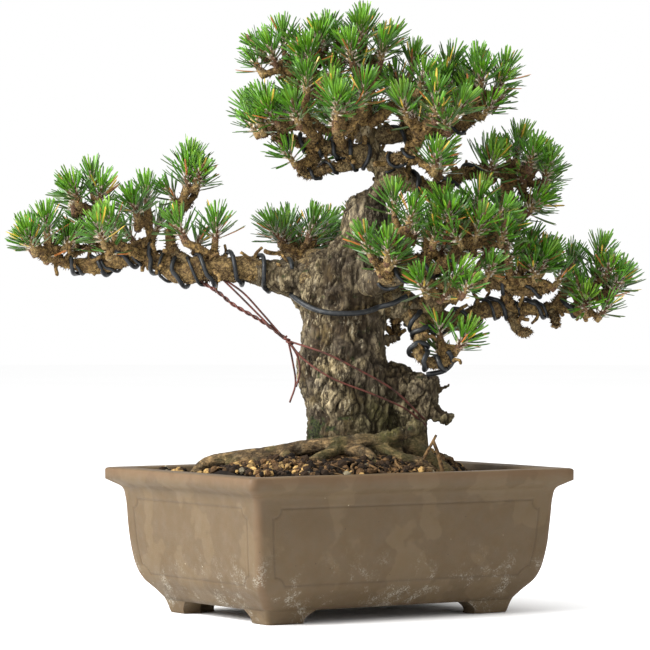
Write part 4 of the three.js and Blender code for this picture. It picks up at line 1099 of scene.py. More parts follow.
RING_START = mm([[47.5, -21.5, 221], [37.5, -24.5, 216]])
TURN_STEPS = 40
WIRE_COLUMNS = 14
WIRE_LIFT = 0.0003
UNEVEN = 0.4
UNEVEN_WAVES = 1.9
RING_STEP = 0.0015
LOOSE_STEP = 0.001
WIRE_STAND = 1.05
KNOB_SHARE = 0.078
RING_HALF = mm([29, 26])
RING_MIDDLE = mm([4, 0])
RING_LEVELS = (0.209, 0.217)
RING_RADIUS = 0.0019
RIB_LIFT = 0.6
RING_TURN = np.radians(np.linspace(-48, -338, 40))
RING_BULGE = mm([4, 0])
CUT_END = 0.8


def wound_path(line, radii, start, end, turns, wire, angle):
    """A helix round a limb: at each step the limb's centre, moved out by the radii of bark and wire in
    a direction that turns round the limb, a little faster and slower by a sine."""
    side, up = carried_frames(line[None])
    steps = turns * TURN_STEPS
    share = np.linspace(start, end, steps + 1) * (len(line) - 1)
    low = np.floor(share).astype(int)
    part = (share - low)[:, None]
    high = np.minimum(low + 1, len(line) - 1)
    centre, side, up = (rows[low] * (1 - part) + rows[high] * part for rows in (line, side[0], up[0]))
    turn = np.radians(angle) + 2 * np.pi * turns * np.linspace(0, 1, steps + 1)
    turn = turn + UNEVEN * np.sin(UNEVEN_WAVES * turn)
    reach = radii[low] * (1 + KNOB_SHARE) + WIRE_STAND * wire
    return centre + around(side, up, turn) * reach[:, None]


def dark_aluminium():
    """Anodised wire: near black, a soft metal gloss, dulled and scratched by handling."""
    wire = Finish("dark_aluminium", 0.42, metallic=0.55, specular=0.5)
    colour = wire.blend(wire.spots(0.5, 0.8, 0.004, 4.0, 0.7), (30, 32, 34), (66, 65, 60))
    return wire.wear(colour, wire.relief(wire.noise(0.0006), 0.00008), wire.spots(-0.6, 1.6, 0.0015))


wire_finish = dark_aluminium()
for wire_name, bough_name, start, end, turns, wire_radius, angle in SPIRALS:
    path = wound_path(*bough_lines[bough_name], start, end, turns, wire_radius, angle)
    radii = np.full(len(path), wire_radius)
    radii[[0, -1]] = wire_radius * CUT_END
    wire = tree_piece(f"{wire_name}_turns", rod(path, radii, WIRE_COLUMNS))
    finish_piece(wire, "dark_wire", [wire_finish], *({wire_name} & set(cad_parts)))

bulge = np.abs(np.cos(RING_TURN)) ** 3
ring_reach = RING_HALF * (1 + TRUNK_RIDGE) + RING_RADIUS + RIB_HEIGHT * RIB_LIFT + WIRE_LIFT
ring_reach = ring_reach + RING_BULGE * bulge[:, None]
ring_flat = RING_MIDDLE + ring_reach * circle(RING_TURN)[:, :2]
ring_rise = (1 - np.cos(RING_TURN + np.pi / 2)) / 2
ring_up = RING_LEVELS[0] + (RING_LEVELS[1] - RING_LEVELS[0]) * ring_rise + RING_SWEEP * bulge
ring_path = through(np.vstack([RING_START, np.column_stack([ring_flat, ring_up])]), RING_STEP)
anchor = tree_piece("wire_trunk_ring_round", rod(ring_path, RING_RADIUS, WIRE_COLUMNS))
finish_piece(anchor, "dark_wire", [wire_finish], "wire_trunk_ring")
loose_path = through(LOOSE_END, LOOSE_STEP)
loose_end = tree_piece("wire_low_right_end", rod(loose_path, LOOSE_RADIUS, WIRE_COLUMNS))
finish_piece(loose_end, "dark_wire", [wire_finish])

# Guy wire
# Annealed copper gone red-brown. It pulls the left bough down to the swelling: a twisted pair down to
# a knot beside the trunk, two single strands across the bark, and a loose tail.
GUY_RADIUS = 0.0007
GUY_TWIST = 0.012
GUY_COLUMNS = 10
GUY_STEP = 0.001
TWIST_STEP = 0.0007
TWIST_REACH = 1.05 * GUY_RADIUS
KNOT_TURNS = 2.5
KNOT_ROWS = 70
KNOT_REACH = 0.0016
KNOT_DRIFT = mm([0.35, 0, -0.4])
GUY_ROUTES = [
    [[-99, -10, 233], [-83, -16, 223.2], [-74.4, -18, 216], [-50.8, -20, 202], [-35, -23, 190]],
    [[-78.5, -10, 232], [-66, -16, 223], [-53, -19, 209], [-40.1, -22, 194.5], [-35, -23, 190]],
    [[-80, -12, 232], [-68, -18, 220.5], [-54.5, -21, 207], [-40.5, -23, 193.5], [-35, -23, 190]],
    [[-35, -23, 190], [-8, -31, 181], [14, -31, 170], [38, -26, 156], [60, -12, 135]],
    [[-35, -23, 190], [-25, -25, 178], [-6, -31, 165], [24, -30, 153], [46, -23, 143], [61, -10, 131]],
    [[-35, -23, 190], [-32, -20, 176], [-30, -18, 160], [-34, -18, 147]],
    [[-35, -23, 190], [-28.5, -22, 179], [-27, -21, 168], [-29.5, -21, 158]],
]


def twisted(path, reach, pitch, phase):
    """A strand that winds round a path: one turn to each pitch of length."""
    side, up = carried_frames(path[None])
    turn = phase + 2 * np.pi * distance_along(path) / pitch
    return path + around(side[0], up[0], turn) * reach


def old_copper():
    """Annealed copper, oxidised to a dull red-brown with darker patches."""
    copper = Finish("old_copper", 0.55, metallic=0.45, specular=0.4)
    colour = copper.blend(copper.spots(0.4, 0.65, 0.006), (88, 47, 38), (50, 32, 27))
    return copper.wear(colour, copper.relief(copper.noise(0.0007), 0.00008))


pulled = through(mm(GUY_ROUTES[0]), TWIST_STEP)
strands = [twisted(pulled, TWIST_REACH, GUY_TWIST, phase) for phase in (0, np.pi)]
strands += [through(mm(route), GUY_STEP) for route in GUY_ROUTES[1:]]
knot_turn = np.linspace(0, 2 * np.pi * KNOT_TURNS, KNOT_ROWS)
knot_ring = KNOT_REACH * circle(knot_turn) + KNOT_DRIFT * (knot_turn - 8)[:, None]
strands.append(mm(GUY_ROUTES[3][0]) + knot_ring)
guy = tree_piece("wire_guy_strands", *(rod(strand, GUY_RADIUS, GUY_COLUMNS) for strand in strands))
finish_piece(guy, "copper_wire", [old_copper()], "wire_guy")

# Shoots
# Where each tuft of needles stands, by the same seeded rule as the solids: a stem leaves its bough,
# forks to the leading shoots, and side shoots stand round those at the golden angle. Smaller shoots
# are then added between them, within the same reach.
LEAN = 0.42
GOLDEN = np.radians(137.5)
FORK_SHARE = 0.55
FORK_SAG = 0.002
SIDE_REACH = 0.015
SIDE_DROP = 0.003
DROP_SPREAD = 0.005
SIDE_START = 0.45
SIDE_LEAN = 0.6
STATION = 0.004
FOOT_BACK = 2
CARRYING_RING = 14
FIRST_SEED = 101
SEED_STEP = 17
HEART_REACH = 0.007
SPRIGS = 2
SPRIG_REACH = 0.0115
SPRIG_DROP = (0.003, 0.009)
SPRIG_START = 0.6
SPRIG_LEAN = 0.8
SPRIG_SIZE = 0.84
SPRIG_BEYOND = 0.004
SPRIG_ROOM = 0.003
SPRIG_SPREAD = (0.8, 1.2)
SHOOT_SEED = 7
STEM_LEVELS = (0.11, 0.36, 0.004)
ASIDE = [0.31, 0.95, 0]
MASSES = [
    ("bough_left", [
        ("left_tip", 1, [[-203, -5, 259], [-209, 4, 253]]),
        ("left_far_high", 2, [[-172, 16, 290]]),
        ("left_far_low", 1, [[-155, -18, 260]]),
        ("left_far_back", 1, [[-178, 34, 262], [-132, 44, 262]]),
        ("left_middle_high", 1, [[-134, 10, 280]]),
        ("left_spire", 0, [[-106, 12, 303], [-101, 10, 292], [-107, 2, 294]]),
        ("left_near", 0, [[-86, -8, 257], [-106, -16, 258]]),
    ]),
    ("bough_left_back", [
        ("left_root", 0, [[-40, 24, 257], [-22, 26, 258]]),
        ("left_behind", 2, [[-33, 72, 258], [-14, 78, 259]]),
    ]),
    ("bough_crown_high", [
        ("crown_far_left", 0, [[-43, -5, 381], [-38, 14, 391]]),
        ("crown_high_left", 1, [[-10, 8, 393], [-20, -20, 377]]),
    ]),
    ("trunk", [
        ("crown_apex", 2, [[18, 2, 397]]),
        ("crown_high_front", 0, [[28, -24, 380], [10, -30, 379]]),
    ]),
    ("bough_crown_left", [
        ("crown_low_left", 1, [[-47, -8, 342], [-33, -26, 342]]),
        ("crown_front_left", 0, [[-22, -42, 358], [-27, -40, 338]]),
        ("crown_front", 1, [[-2, -50, 348], [15, -50, 350]]),
        ("crown_hanging", 0, [[-30, -18, 312], [-18, -8, 310]]),
    ]),
    ("trunk", [
        ("crown_high_right", 0, [[50, 4, 373], [74, 14, 372], [55, -22, 361]]),
    ]),
    ("bough_crown_right", [
        ("crown_far_right", 2, [[96, -5, 368], [112, 4, 366], [92, -12, 350]]),
    ]),
    ("bough_crown_front", [
        ("crown_front_right", 0, [[47, -48, 342], [64, -50, 346], [78, -46, 340]]),
        ("crown_low_right", 1, [[62, -40, 312]]),
    ]),
    ("bough_crown_back", [
        ("crown_back_left", 2, [[-28, 46, 352], [-46, 32, 346]]),
        ("crown_back", 2, [[8, 72, 350], [2, 56, 370]]),
    ]),
    ("bough_crown_right", [
        ("crown_back_right", 2, [[40, 48, 358], [70, 42, 352]]),
    ]),
    ("bough_upper_right", [
        ("upper_right_near", 1, [[99, -2, 308]]),
        ("upper_right", 1, [[124, 6, 316]]),
        ("upper_right_tip", 1, [[136, 10, 306], [133, 4, 287]]),
        ("upper_right_low", 0, [[130, -8, 277], [116, 14, 276], [106, -22, 264]]),
    ]),
    ("bough_front_right", [
        ("front_high", 1, [[38, -50, 274]]),
        ("front_low", 0, [[33, -62, 243], [23, -56, 246]]),
        ("front_middle", 0, [[64, -58, 254], [66, -44, 272]]),
        ("front_right", 1, [[84, -46, 266], [94, -44, 276], [74, -50, 274], [108, -40, 262]]),
        ("front_under", 0, [[60, -66, 221], [74, -62, 226], [93, -46, 236]]),
    ]),
    ("bough_right", [
        ("right_middle", 1, [[127, -10, 238], [140, -12, 236], [131, -6, 248], [104, -30, 246],
         [115, -26, 252]]),
        ("right_high", 1, [[162, 14, 231]]),
        ("right_tip", 1, [[179, -4, 226], [181, -2, 238], [172, -10, 209]]),
    ]),
    ("bough_low_right", [
        ("low_right", 0, [[81, -22, 181], [71, -16, 189]]),
    ]),
    ("bough_back_right", [
        ("back_right", 2, [[68, 98, 258], [84, 84, 262]]),
        ("back", 2, [[36, 70, 258], [20, 52, 260]]),
    ]),
]


def seeded_draw(seed):
    """Numbers between 0 and 1 by the same rule as the solids: state times a factor plus a step."""
    state = seed
    while True:
        state = (state * 1664525 + 1013904223) % 4294967296
        yield state / 4294967296


def stem_foot(limb, target):
    """The limb's centre line point nearest to the first tuft, moved back towards the limb's root."""
    nearest = np.argmin(np.linalg.norm(limb - target, axis=1))
    return limb[max(nearest - FOOT_BACK, 0)]


def mass_shoots(foot, tufts, sides, draw):
    """Fork, then for each shoot where its twig starts, its base and the way that it points."""
    fork = foot + (np.mean(tufts, axis=0) - foot) * FORK_SHARE - [0, 0, FORK_SAG]
    shoots = []
    for base in tufts:
        ahead = unit(base - fork)
        shoots.append((fork, base, unit(np.array([0, 0, 1 - LEAN]) + ahead * LEAN)))
    for k in range(sides):
        lead_from, lead_base, _ = shoots[k % len(tufts)]
        angle = GOLDEN * (k + 1) + 2 * np.pi * next(draw)
        reach = SIDE_REACH * (0.8 + 0.4 * next(draw))
        out = circle(angle)
        base = lead_base + out * reach - [0, 0, SIDE_DROP + DROP_SPREAD * next(draw)]
        start = lead_from + (lead_base - lead_from) * SIDE_START
        shoots.append((start, base, unit(np.array([0, 0, 1]) + out * SIDE_LEAN)))
    return fork, shoots


crown_rings = TRUNK_RINGS[CARRYING_RING:]
stations = {name: through(mm(points), STATION) for name, (_, points) in BOUGHS.items()}
crown_up = crown_rings[:, 0]
stations["trunk"] = np.column_stack([crown_rings[:, 1:3].mean(axis=1), 0 * crown_up, crown_up])
mass_rows = [(limb, *row) for limb, rows in MASSES for row in rows]
mass_names = [f"needles_{row[1]}" for row in mass_rows]
mass_count = len(mass_rows)
stems = []
twigs = []
shoot_masses = []
for number, (limb_name, _, sides, tufts) in enumerate(mass_rows):
    tufts = mm(tufts)
    foot = stem_foot(stations[limb_name], tufts[0])
    fork, shoots = mass_shoots(foot, tufts, sides, seeded_draw(FIRST_SEED + SEED_STEP * number))
    stems.append((foot, fork))
    twigs.extend(shoots)
    shoot_masses.extend([number] * len(shoots))
twig_from, shoot_base, shoot_axis = (np.array(part) for part in zip(*twigs))
shoot_masses = np.array(shoot_masses)
shoot_draw = np.random.default_rng(SHOOT_SEED)

obstacles = [(line[::4], radii[::4]) for line, radii in bough_lines.values()]
stem_levels = np.arange(*STEM_LEVELS)
left, right, front, back = stem_edges(stem_levels)
stem_centres = np.column_stack([(left + right) / 2, (front + back) / 2, stem_levels])
obstacles.append((stem_centres, (back - front) / 2))


def clear_of_limbs(places, margin):
    """True for the places that lie outside the trunk and boughs by at least the margin."""
    keep = np.ones(len(places), dtype=bool)
    for line, radius in obstacles:
        near = np.linalg.norm(places[:, None] - line[None], axis=2)
        keep &= np.all(near > radius[None] + margin, axis=1)
    return keep


sprig_angle = GOLDEN * np.arange(SPRIGS)[:, None] + shoot_draw.uniform(0, 2 * np.pi, (1, len(twigs)))
sprig_out = circle(sprig_angle)
sprig_reach = SPRIG_REACH * shoot_draw.uniform(*SPRIG_SPREAD, (*sprig_angle.shape, 1))
sprig_drop = shoot_draw.uniform(*SPRIG_DROP, sprig_angle.shape)
sprig_down = sprig_drop[..., None] * [0, 0, 1]
sprig_base = (shoot_base[None] + sprig_out * sprig_reach - sprig_down).reshape(-1, 3)
sprig_axis = unit(np.array([0, 0, 1]) + SPRIG_LEAN * sprig_out).reshape(-1, 3)
sprig_from = np.tile(twig_from + (shoot_base - twig_from) * SPRIG_START, (SPRIGS, 1))
mass_middles = np.array([shoot_base[shoot_masses == mass].mean(axis=0) for mass in range(mass_count)])
from_middle = np.linalg.norm((shoot_base - mass_middles[shoot_masses])[:, :2], axis=1)
mass_reach = np.array([from_middle[shoot_masses == mass].max() for mass in range(mass_count)])
sprig_mass = np.tile(shoot_masses, SPRIGS)
sprig_out_by = np.linalg.norm((sprig_base - mass_middles[sprig_mass])[:, :2], axis=1)
free = clear_of_limbs(sprig_base, SPRIG_ROOM) & (sprig_out_by < mass_reach[sprig_mass] + SPRIG_BEYOND)
twig_from = np.vstack([twig_from, sprig_from[free]])
shoot_base = np.vstack([shoot_base, sprig_base[free]])
shoot_axis = np.vstack([shoot_axis, sprig_axis[free]])
shoot_size = np.concatenate([np.ones(len(twigs)), np.full(np.count_nonzero(free), SPRIG_SIZE)])
shoot_masses = np.concatenate([shoot_masses, sprig_mass[free]])
shoot_hearts = shoot_base + shoot_axis * HEART_REACH
shoot_side = unit(np.cross(shoot_axis, ASIDE))
shoot_up = np.cross(shoot_axis, shoot_side)
shoot_count = len(shoot_base)

# Twigs
# Short, rough, knobbly wood between the boughs and the tufts, with stubs where old shoots were cut.
# Each kind is one joined piece.
STEM_RADII = (0.0044, 0.0036)
TWIG_RADII = (0.0032, 0.0026)
STEM_ROWS = 20
TWIG_ROWS = 14
TWIG_COLUMNS = 12
STUB_RADII = (0.0019, 0.0013)
STUB_ROWS = 8
STUB_COLUMNS = 9
STUB_COUNT = 320
STUB_LENGTHS = (0.003, 0.012)
STEM_BOW = 0.07
TWIG_BOW = 0.05
STUB_BOW = 0.12
STUB_SPREAD = (0.7, 1.25)
STUB_SEED = 19


def bent_paths(start, end, rows, bow, generator):
    """Paths from start to end that bow aside by a half sine, each in a direction of its own."""
    share = np.linspace(0, 1, rows)[None, :, None]
    straight = start[:, None] * (1 - share) + end[:, None] * share
    aside = generator.normal(size=(len(start), 1, 3))
    length = np.linalg.norm(end - start, axis=1)[:, None, None]
    wander = generator.normal(size=(len(start), 1, 3)) * np.sin(2 * np.pi * share)
    return straight + (aside * np.sin(np.pi * share) + 0.5 * wander) * bow * length


stem_feet, stem_forks = np.swapaxes(stems, 0, 1)
stem_paths = bent_paths(stem_feet, stem_forks, STEM_ROWS, STEM_BOW, shoot_draw)
stem_radii = np.tile(np.linspace(*STEM_RADII, STEM_ROWS), (len(stems), 1))
twig_paths = bent_paths(twig_from, shoot_base, TWIG_ROWS, TWIG_BOW, shoot_draw)
twig_radii = np.linspace(*TWIG_RADII, TWIG_ROWS)[None] * shoot_size[:, None]
twig_wood = tree_piece("twigs", tubes(stem_paths, stem_radii, TWIG_COLUMNS, scaly_relief),
                       tubes(twig_paths, twig_radii, TWIG_COLUMNS, scaly_relief))
store(twig_wood, age=0)
finish_piece(twig_wood, "twig_bark", [twig_bark])

stub_draw = np.random.default_rng(STUB_SEED)
all_lines, all_radii = (np.concatenate(part) for part in zip(*bough_lines.values()))
spots = stub_draw.integers(0, len(all_lines), STUB_COUNT)
stub_way = unit(stub_draw.normal(size=(STUB_COUNT, 3)) + [0, 0, 0.5])
stub_start = all_lines[spots] + stub_way * all_radii[spots, None] * 0.5
stub_length = stub_draw.uniform(*STUB_LENGTHS, STUB_COUNT) + all_radii[spots] * 0.5
stub_end = stub_start + stub_way * stub_length[:, None]
stub_paths = bent_paths(stub_start, stub_end, STUB_ROWS, STUB_BOW, stub_draw)
stub_thick = stub_draw.uniform(*STUB_SPREAD, (STUB_COUNT, 1))
stub_radii = np.linspace(*STUB_RADII, STUB_ROWS)[None] * stub_thick
stubs = tree_piece("twig_stubs", tubes(stub_paths, stub_radii, STUB_COLUMNS, scaly_relief))
store(stubs, age=0)
finish_piece(stubs, "twig_bark", [twig_bark])

# Shoot tips
# The last stretch of each shoot stands up inside its tuft, red-brown with papery scales that stick
# out, and ends in a pointed bud.
TIP_LENGTH = 0.0230
TIP_RADII = mm([2.2, 2.4, 2.3, 2.2, 2.0, 1.9, 1.8, 1.6, 1.1, 0.2])
TIP_COLUMNS = 9
TIP_SUNK = -0.08
STEM_FLAKES = 3600
TWIG_FLAKES = 6500
BOUGH_FLAKES = 420
SCALES = 30
SCALE_BELT = (-0.010, 0.016)
SCALE_LENGTHS = (0.0014, 0.0032)
SCALE_WIDTH = 0.0006
SCALE_OUT = 0.0012
SCALE_OPEN = (0.3, 1.1)
SCALE_SEED = 29
FLAKE_LEAN = (-0.3, 0.9)
FLAKE_SUNK = 0.85
TIP_SPREAD = (0.85, 1.15)
SCALE_TINTS = {"scale_dark": (64, 46, 26), "scale_brown": (112, 88, 54), "scale_pale": (152, 126, 84)}


def shoot_scales():
    """Red-brown shoot: overlapping papery scales, pale at their edges, tan at the shoot's foot."""
    scales = Finish("shoot_scales", 0.8, specular=0.25)
    tone = scales.spots(0.35, 0.65, 0.0013, 4.0, 0.7)
    colour = scales.blend(tone, (42, 26, 16), (96, 64, 41))
    foot = scales.blend(tone, (54, 42, 22), (140, 116, 70))
    colour = scales.blend(scales.between(scales.read("along"), 0.70, 0.42), colour, foot)
    edge = scales.between(scales.cells(0.0016, "DISTANCE_TO_EDGE"), 0.06, 0.02)
    colour = scales.coat(colour, edge, 0.35, (150, 130, 104))
    return scales.wear(colour, scales.relief(scales.cells(0.0014), 0.0005))


tip_rows = len(TIP_RADII)
tip_share = np.linspace(TIP_SUNK, 1, tip_rows)[None, :, None]
tip_paths = shoot_base[:, None] + shoot_axis[:, None] * tip_share * TIP_LENGTH
tip_radii = np.tile(TIP_RADII, (shoot_count, 1)) * shoot_draw.uniform(*TIP_SPREAD, (shoot_count, 1))
tips = tree_piece("shoot_tips", tubes(tip_paths, tip_radii, TIP_COLUMNS, scaly_relief))
along = np.tile(np.repeat(np.linspace(0, 1, tip_rows), TIP_COLUMNS), shoot_count)
store(tips, along=np.concatenate([along, np.zeros(len(tips.data.vertices) - len(along))]))
finish_piece(tips, "twig_bark", [shoot_scales()])


def spikes(root, ahead, width, generator):
    """Three-sided spikes: a small triangle round each root, square to the spike, and its point."""
    side = unit(np.cross(ahead, generator.normal(size=ahead.shape)))
    up = np.cross(unit(ahead), side)
    ring = root[:, None] + width * around(side[:, None], up[:, None], full_turn(3))
    places = np.concatenate([ring, (root + ahead)[:, None]], axis=1)
    faces = np.array([[0, 1, 3], [1, 2, 3], [2, 0, 3], [2, 1, 0]])
    return places.reshape(-1, 3), for_each(faces, len(root), 4)


scale_draw = np.random.default_rng(SCALE_SEED)
scale_share = scale_draw.uniform(*SCALE_BELT, (shoot_count, SCALES))
scale_turn = scale_draw.uniform(0, 2 * np.pi, (shoot_count, SCALES))
scale_out = around(shoot_side[:, None], shoot_up[:, None], scale_turn)
down_twig = unit(shoot_base - twig_from)
along_shoot = np.where(scale_share[..., None] < 0, down_twig[:, None], shoot_axis[:, None])
scale_root = shoot_base[:, None] + along_shoot * scale_share[..., None] + scale_out * SCALE_OUT
scale_open = scale_draw.uniform(*SCALE_OPEN, (shoot_count, SCALES, 1))
scale_way = unit(along_shoot * 0.6 + scale_out * scale_open)
scale_way = scale_way * scale_draw.uniform(*SCALE_LENGTHS, (shoot_count, SCALES, 1))


def flakes_on(paths, radii, count, generator):
    """Roots and directions of flakes that stand off a set of limbs at random spots, leaning ahead."""
    limb = generator.integers(0, len(paths), count)
    row = generator.integers(0, paths.shape[1] - 1, count)
    ahead = unit(paths[limb, row + 1] - paths[limb, row])
    out = unit(np.cross(ahead, generator.normal(size=(count, 3))))
    root = paths[limb, row] + out * radii[limb, row, None] * FLAKE_SUNK
    way = unit(ahead * generator.uniform(*FLAKE_LEAN, (count, 1)) + out)
    return root, way * generator.uniform(*SCALE_LENGTHS, (count, 1))


wood = [(stem_paths, stem_radii, STEM_FLAKES), (twig_paths, twig_radii, TWIG_FLAKES)]
for path, radii in bough_lines.values():
    outer = len(path) // 4
    wood.append((path[None, outer:], radii[None, outer:], BOUGH_FLAKES))
flakes = [(scale_root.reshape(-1, 3), scale_way.reshape(-1, 3))]
flakes += [flakes_on(*limbs, scale_draw) for limbs in wood]
flake_roots, flake_ways = (np.vstack(part) for part in zip(*flakes))
flake_body = spikes(flake_roots, flake_ways, SCALE_WIDTH, scale_draw)
scales = tree_piece("shoot_scales", flake_body, smooth=False)
deal(scales, np.repeat(np.arange(len(flake_roots)), 4),
     scale_draw.integers(0, len(SCALE_TINTS), len(flake_roots)))
finish_piece(scales, "twig_bark", [earth(name, tint) for name, tint in SCALE_TINTS.items()])

# Needles
# Stiff paired needles, crowded on the upper end of each shoot so that a tuft opens like a fan. Young
# ones on top are bright and old ones below are dull, which also paints shade on the lower needles; a
# few have died, and all are pale at the root.
PAIRS = 29
SPRIG_PAIRS = 20
BRUSH_LOW = 0.0030
BRUSH_HIGH = 0.0175
NEEDLE_REACH = 0.0180
LONG_SHARE = 1.12
SHORTENED = 0.30
WIDE_OPEN = 72
NEARLY_SHUT = 15
OPENING_SPREAD = 6
PAIR_SPREAD = np.radians(7)
NEEDLE_HALF_WIDTH = 0.00068
NEEDLE_STATIONS = np.array([0.0, 0.25, 0.62, 0.93])
NEEDLE_TAPER = np.array([0.60, 0.95, 1.0, 0.80])
NEEDLE_SECTION = [(-1.0, 0.18), (0.0, -0.60), (1.0, 0.18)]
ROOT_FACES = len(NEEDLE_SECTION)
SPACE_SHARE = 0.50
LIMB_MARGIN = 0.0012
EDGE_ROOM = 0.004
ROOT_OFFSET = 0.0012
BRUSH_POWER = 0.9
LENGTH_SPREAD = (0.86, 1.12)
PAIR_LENGTHS = (0.95, 1.05)
PAIR_OPEN = (0.4, 1.3)
CURL = (0.02, 0.16)
CURL_SPREAD = 0.02
ROLL_SPREAD = 0.5
TESTED_SHARES = (0.3, 0.55, 0.8, 1.0)
NEEDLE_SEED = 23
TONE_LOW = 0.14
TONE_RISE = 0.78
SHOOT_TONE = 0.10
NEEDLE_TONE = 0.11
SPRIG_TONE = 0.12
TONE_STEPS = [0.20, 0.38, 0.63, 0.90]
YELLOW_TINT = 5
YELLOW_SHARE = 0.022
DEAD_TINT = 6
DEAD_SHARE = 0.035
DEAD_BELOW = 0.6
# The first five are dealt by the needle's tone up its shoot, from dull to fresh, so they carry painted
# shade as well as age
NEEDLE_TINTS = {
    "needle_dull": (57, 77, 28),
    "needle_deep": (47, 83, 12),
    "needle_green": (60, 106, 15),
    "needle_bright": (77, 121, 19),
    "needle_fresh": (100, 137, 34),
    "needle_yellow": (176, 148, 54),
    "needle_dead": (158, 98, 46),
    "needle_root": (148, 140, 116),
}
ROOT_TINT = len(NEEDLE_TINTS) - 1
# The needles are joined in four pieces, each from the mass named here up to the next
GROUPS = {
    "left": "left_tip", "crown_left": "crown_far_left", "crown_right": "crown_high_right",
    "right": "upper_right_near",
}


def brush_needles(generator):
    """Roots, directions and lengths of all pairs: they go round each shoot at the golden angle and up
    it by even steps, and open from nearly level at the bottom to nearly shut on top."""
    k = np.arange(PAIRS)[None]
    pairs = np.where(shoot_size < 1, SPRIG_PAIRS, PAIRS)[:, None]
    share = (k + generator.uniform(0.1, 0.9, (shoot_count, PAIRS))) / pairs
    turn = generator.uniform(0, 2 * np.pi, (shoot_count, 1)) + GOLDEN * k
    opening = NEARLY_SHUT + (WIDE_OPEN - NEARLY_SHUT) * np.clip(1 - share, 0, 1)
    opening = np.radians(opening + generator.normal(0, OPENING_SPREAD, opening.shape))
    out = around(shoot_side[:, None], shoot_up[:, None], turn)
    axis = shoot_axis[:, None]
    ahead = axis * np.cos(opening)[..., None] + out * np.sin(opening)[..., None]
    reach = (BRUSH_LOW + (BRUSH_HIGH - BRUSH_LOW) * share ** BRUSH_POWER) * shoot_size[:, None]
    root = shoot_base[:, None] + axis * reach[..., None] + out * ROOT_OFFSET
    across = unit(np.cross(ahead, out + 0.001 * axis))
    length = NEEDLE_REACH * shoot_size[:, None] * generator.uniform(*LENGTH_SPREAD, share.shape)
    grown = k < pairs
    shoot = np.broadcast_to(np.arange(shoot_count)[:, None], grown.shape)
    length = length * (LONG_SHARE - SHORTENED * share)
    return tuple(part[grown] for part in (shoot, share, root, ahead, across, length))


def free_needles(root, tip, shoot):
    """True for needles that keep to their own shoot's space and clear of limbs: the tip may not be
    much nearer to another shoot's heart, nor any part inside wood."""
    own = np.linalg.norm(tip - shoot_hearts[shoot], axis=1)
    apart = np.linalg.norm(tip[:, None] - shoot_hearts[None], axis=2)
    apart[np.arange(len(tip)), shoot] = 9.0
    keep = apart.min(axis=1) > SPACE_SHARE * own
    for share in TESTED_SHARES:
        keep &= clear_of_limbs(root * (1 - share) + tip * share, LIMB_MARGIN)
    return keep


def needle_blades(root, ahead, across, bend, length):
    """Slim blades: a three-cornered section, flat on top and keeled below, carried along a line that
    bends by the square of the way, and drawn in to a short point. The numbers of four-cornered and
    three-cornered faces of one blade come with them."""
    centre = (root[:, None] + ahead[:, None] * (length[:, None] * NEEDLE_STATIONS)[..., None]
              + bend[:, None] * (length[:, None] * NEEDLE_STATIONS ** 2)[..., None])
    over = unit(np.cross(ahead, across))
    width = (NEEDLE_HALF_WIDTH * NEEDLE_TAPER)[None, :, None]
    rings = [centre + (across[:, None] * wide + over[:, None] * thick) * width
             for wide, thick in NEEDLE_SECTION]
    tip = (root + (ahead + bend) * length[:, None])[:, None]
    count = len(root)
    sides = len(NEEDLE_SECTION)
    each = sides * len(NEEDLE_STATIONS) + 1
    places = np.concatenate([np.stack(rings, axis=2).reshape(count, -1, 3), tip], axis=1)
    quads = wrapped_grid(len(NEEDLE_STATIONS), sides)
    caps = np.vstack([fan(np.arange(each - 1 - sides, each - 1), each - 1, False), [[2, 1, 0]]])
    body = (places.reshape(-1, 3), for_each(quads, count, each), for_each(caps, count, each))
    return body, len(quads), len(caps)


def needle_finish(name, colour):
    """Waxy needle: its green broken a little from place to place, with a soft gloss."""
    wax = Finish(name, 0.42, specular=0.4)
    low = tuple(channel * 0.82 for channel in colour)
    high = tuple(min(channel * 1.12, 255) for channel in colour)
    return wax.wear(wax.blend(wax.spots(0.3, 0.7, 0.006, 2.0), low, high), None)


needle_draw = np.random.default_rng(NEEDLE_SEED)
pair_shoot, pair_share, pair_root, pair_way, pair_across, pair_length = brush_needles(needle_draw)
inwards = square_to(pair_way, shoot_axis[pair_shoot])
needle_parts = []
for sign in (-1, 1):
    spread = PAIR_SPREAD * needle_draw.uniform(*PAIR_OPEN, len(pair_root)) * sign
    way = unit(pair_way * np.cos(spread)[:, None] + pair_across * np.sin(spread)[:, None])
    bend = inwards * (needle_draw.uniform(*CURL, len(way)) * (1 - 0.7 * pair_share))[:, None]
    bend = bend + needle_draw.normal(0, CURL_SPREAD, bend.shape)
    wide = square_to(way, pair_across)
    roll = needle_draw.normal(0, ROLL_SPREAD, len(way))[:, None]
    wide = wide * np.cos(roll) + np.cross(way, wide) * np.sin(roll)
    grown = pair_length * needle_draw.uniform(*PAIR_LENGTHS, len(way))
    needle_parts.append((pair_root, way, wide, bend, grown))
root, way, wide, bend, length = (np.concatenate([part[i] for part in needle_parts]) for i in range(5))
needle_shoot = np.tile(pair_shoot, 2)
share = np.tile(pair_share, 2)
tip = root + (way + bend) * length[:, None]
keep = free_needles(root, tip, needle_shoot)
room = in_pot(tip)
keep &= np.all((room > cad_low - EDGE_ROOM) & (room < cad_high + EDGE_ROOM), axis=1)
light = needle_draw.normal(0, SHOOT_TONE, shoot_count)[needle_shoot]
light = light - SPRIG_TONE * (shoot_size[needle_shoot] < 1)
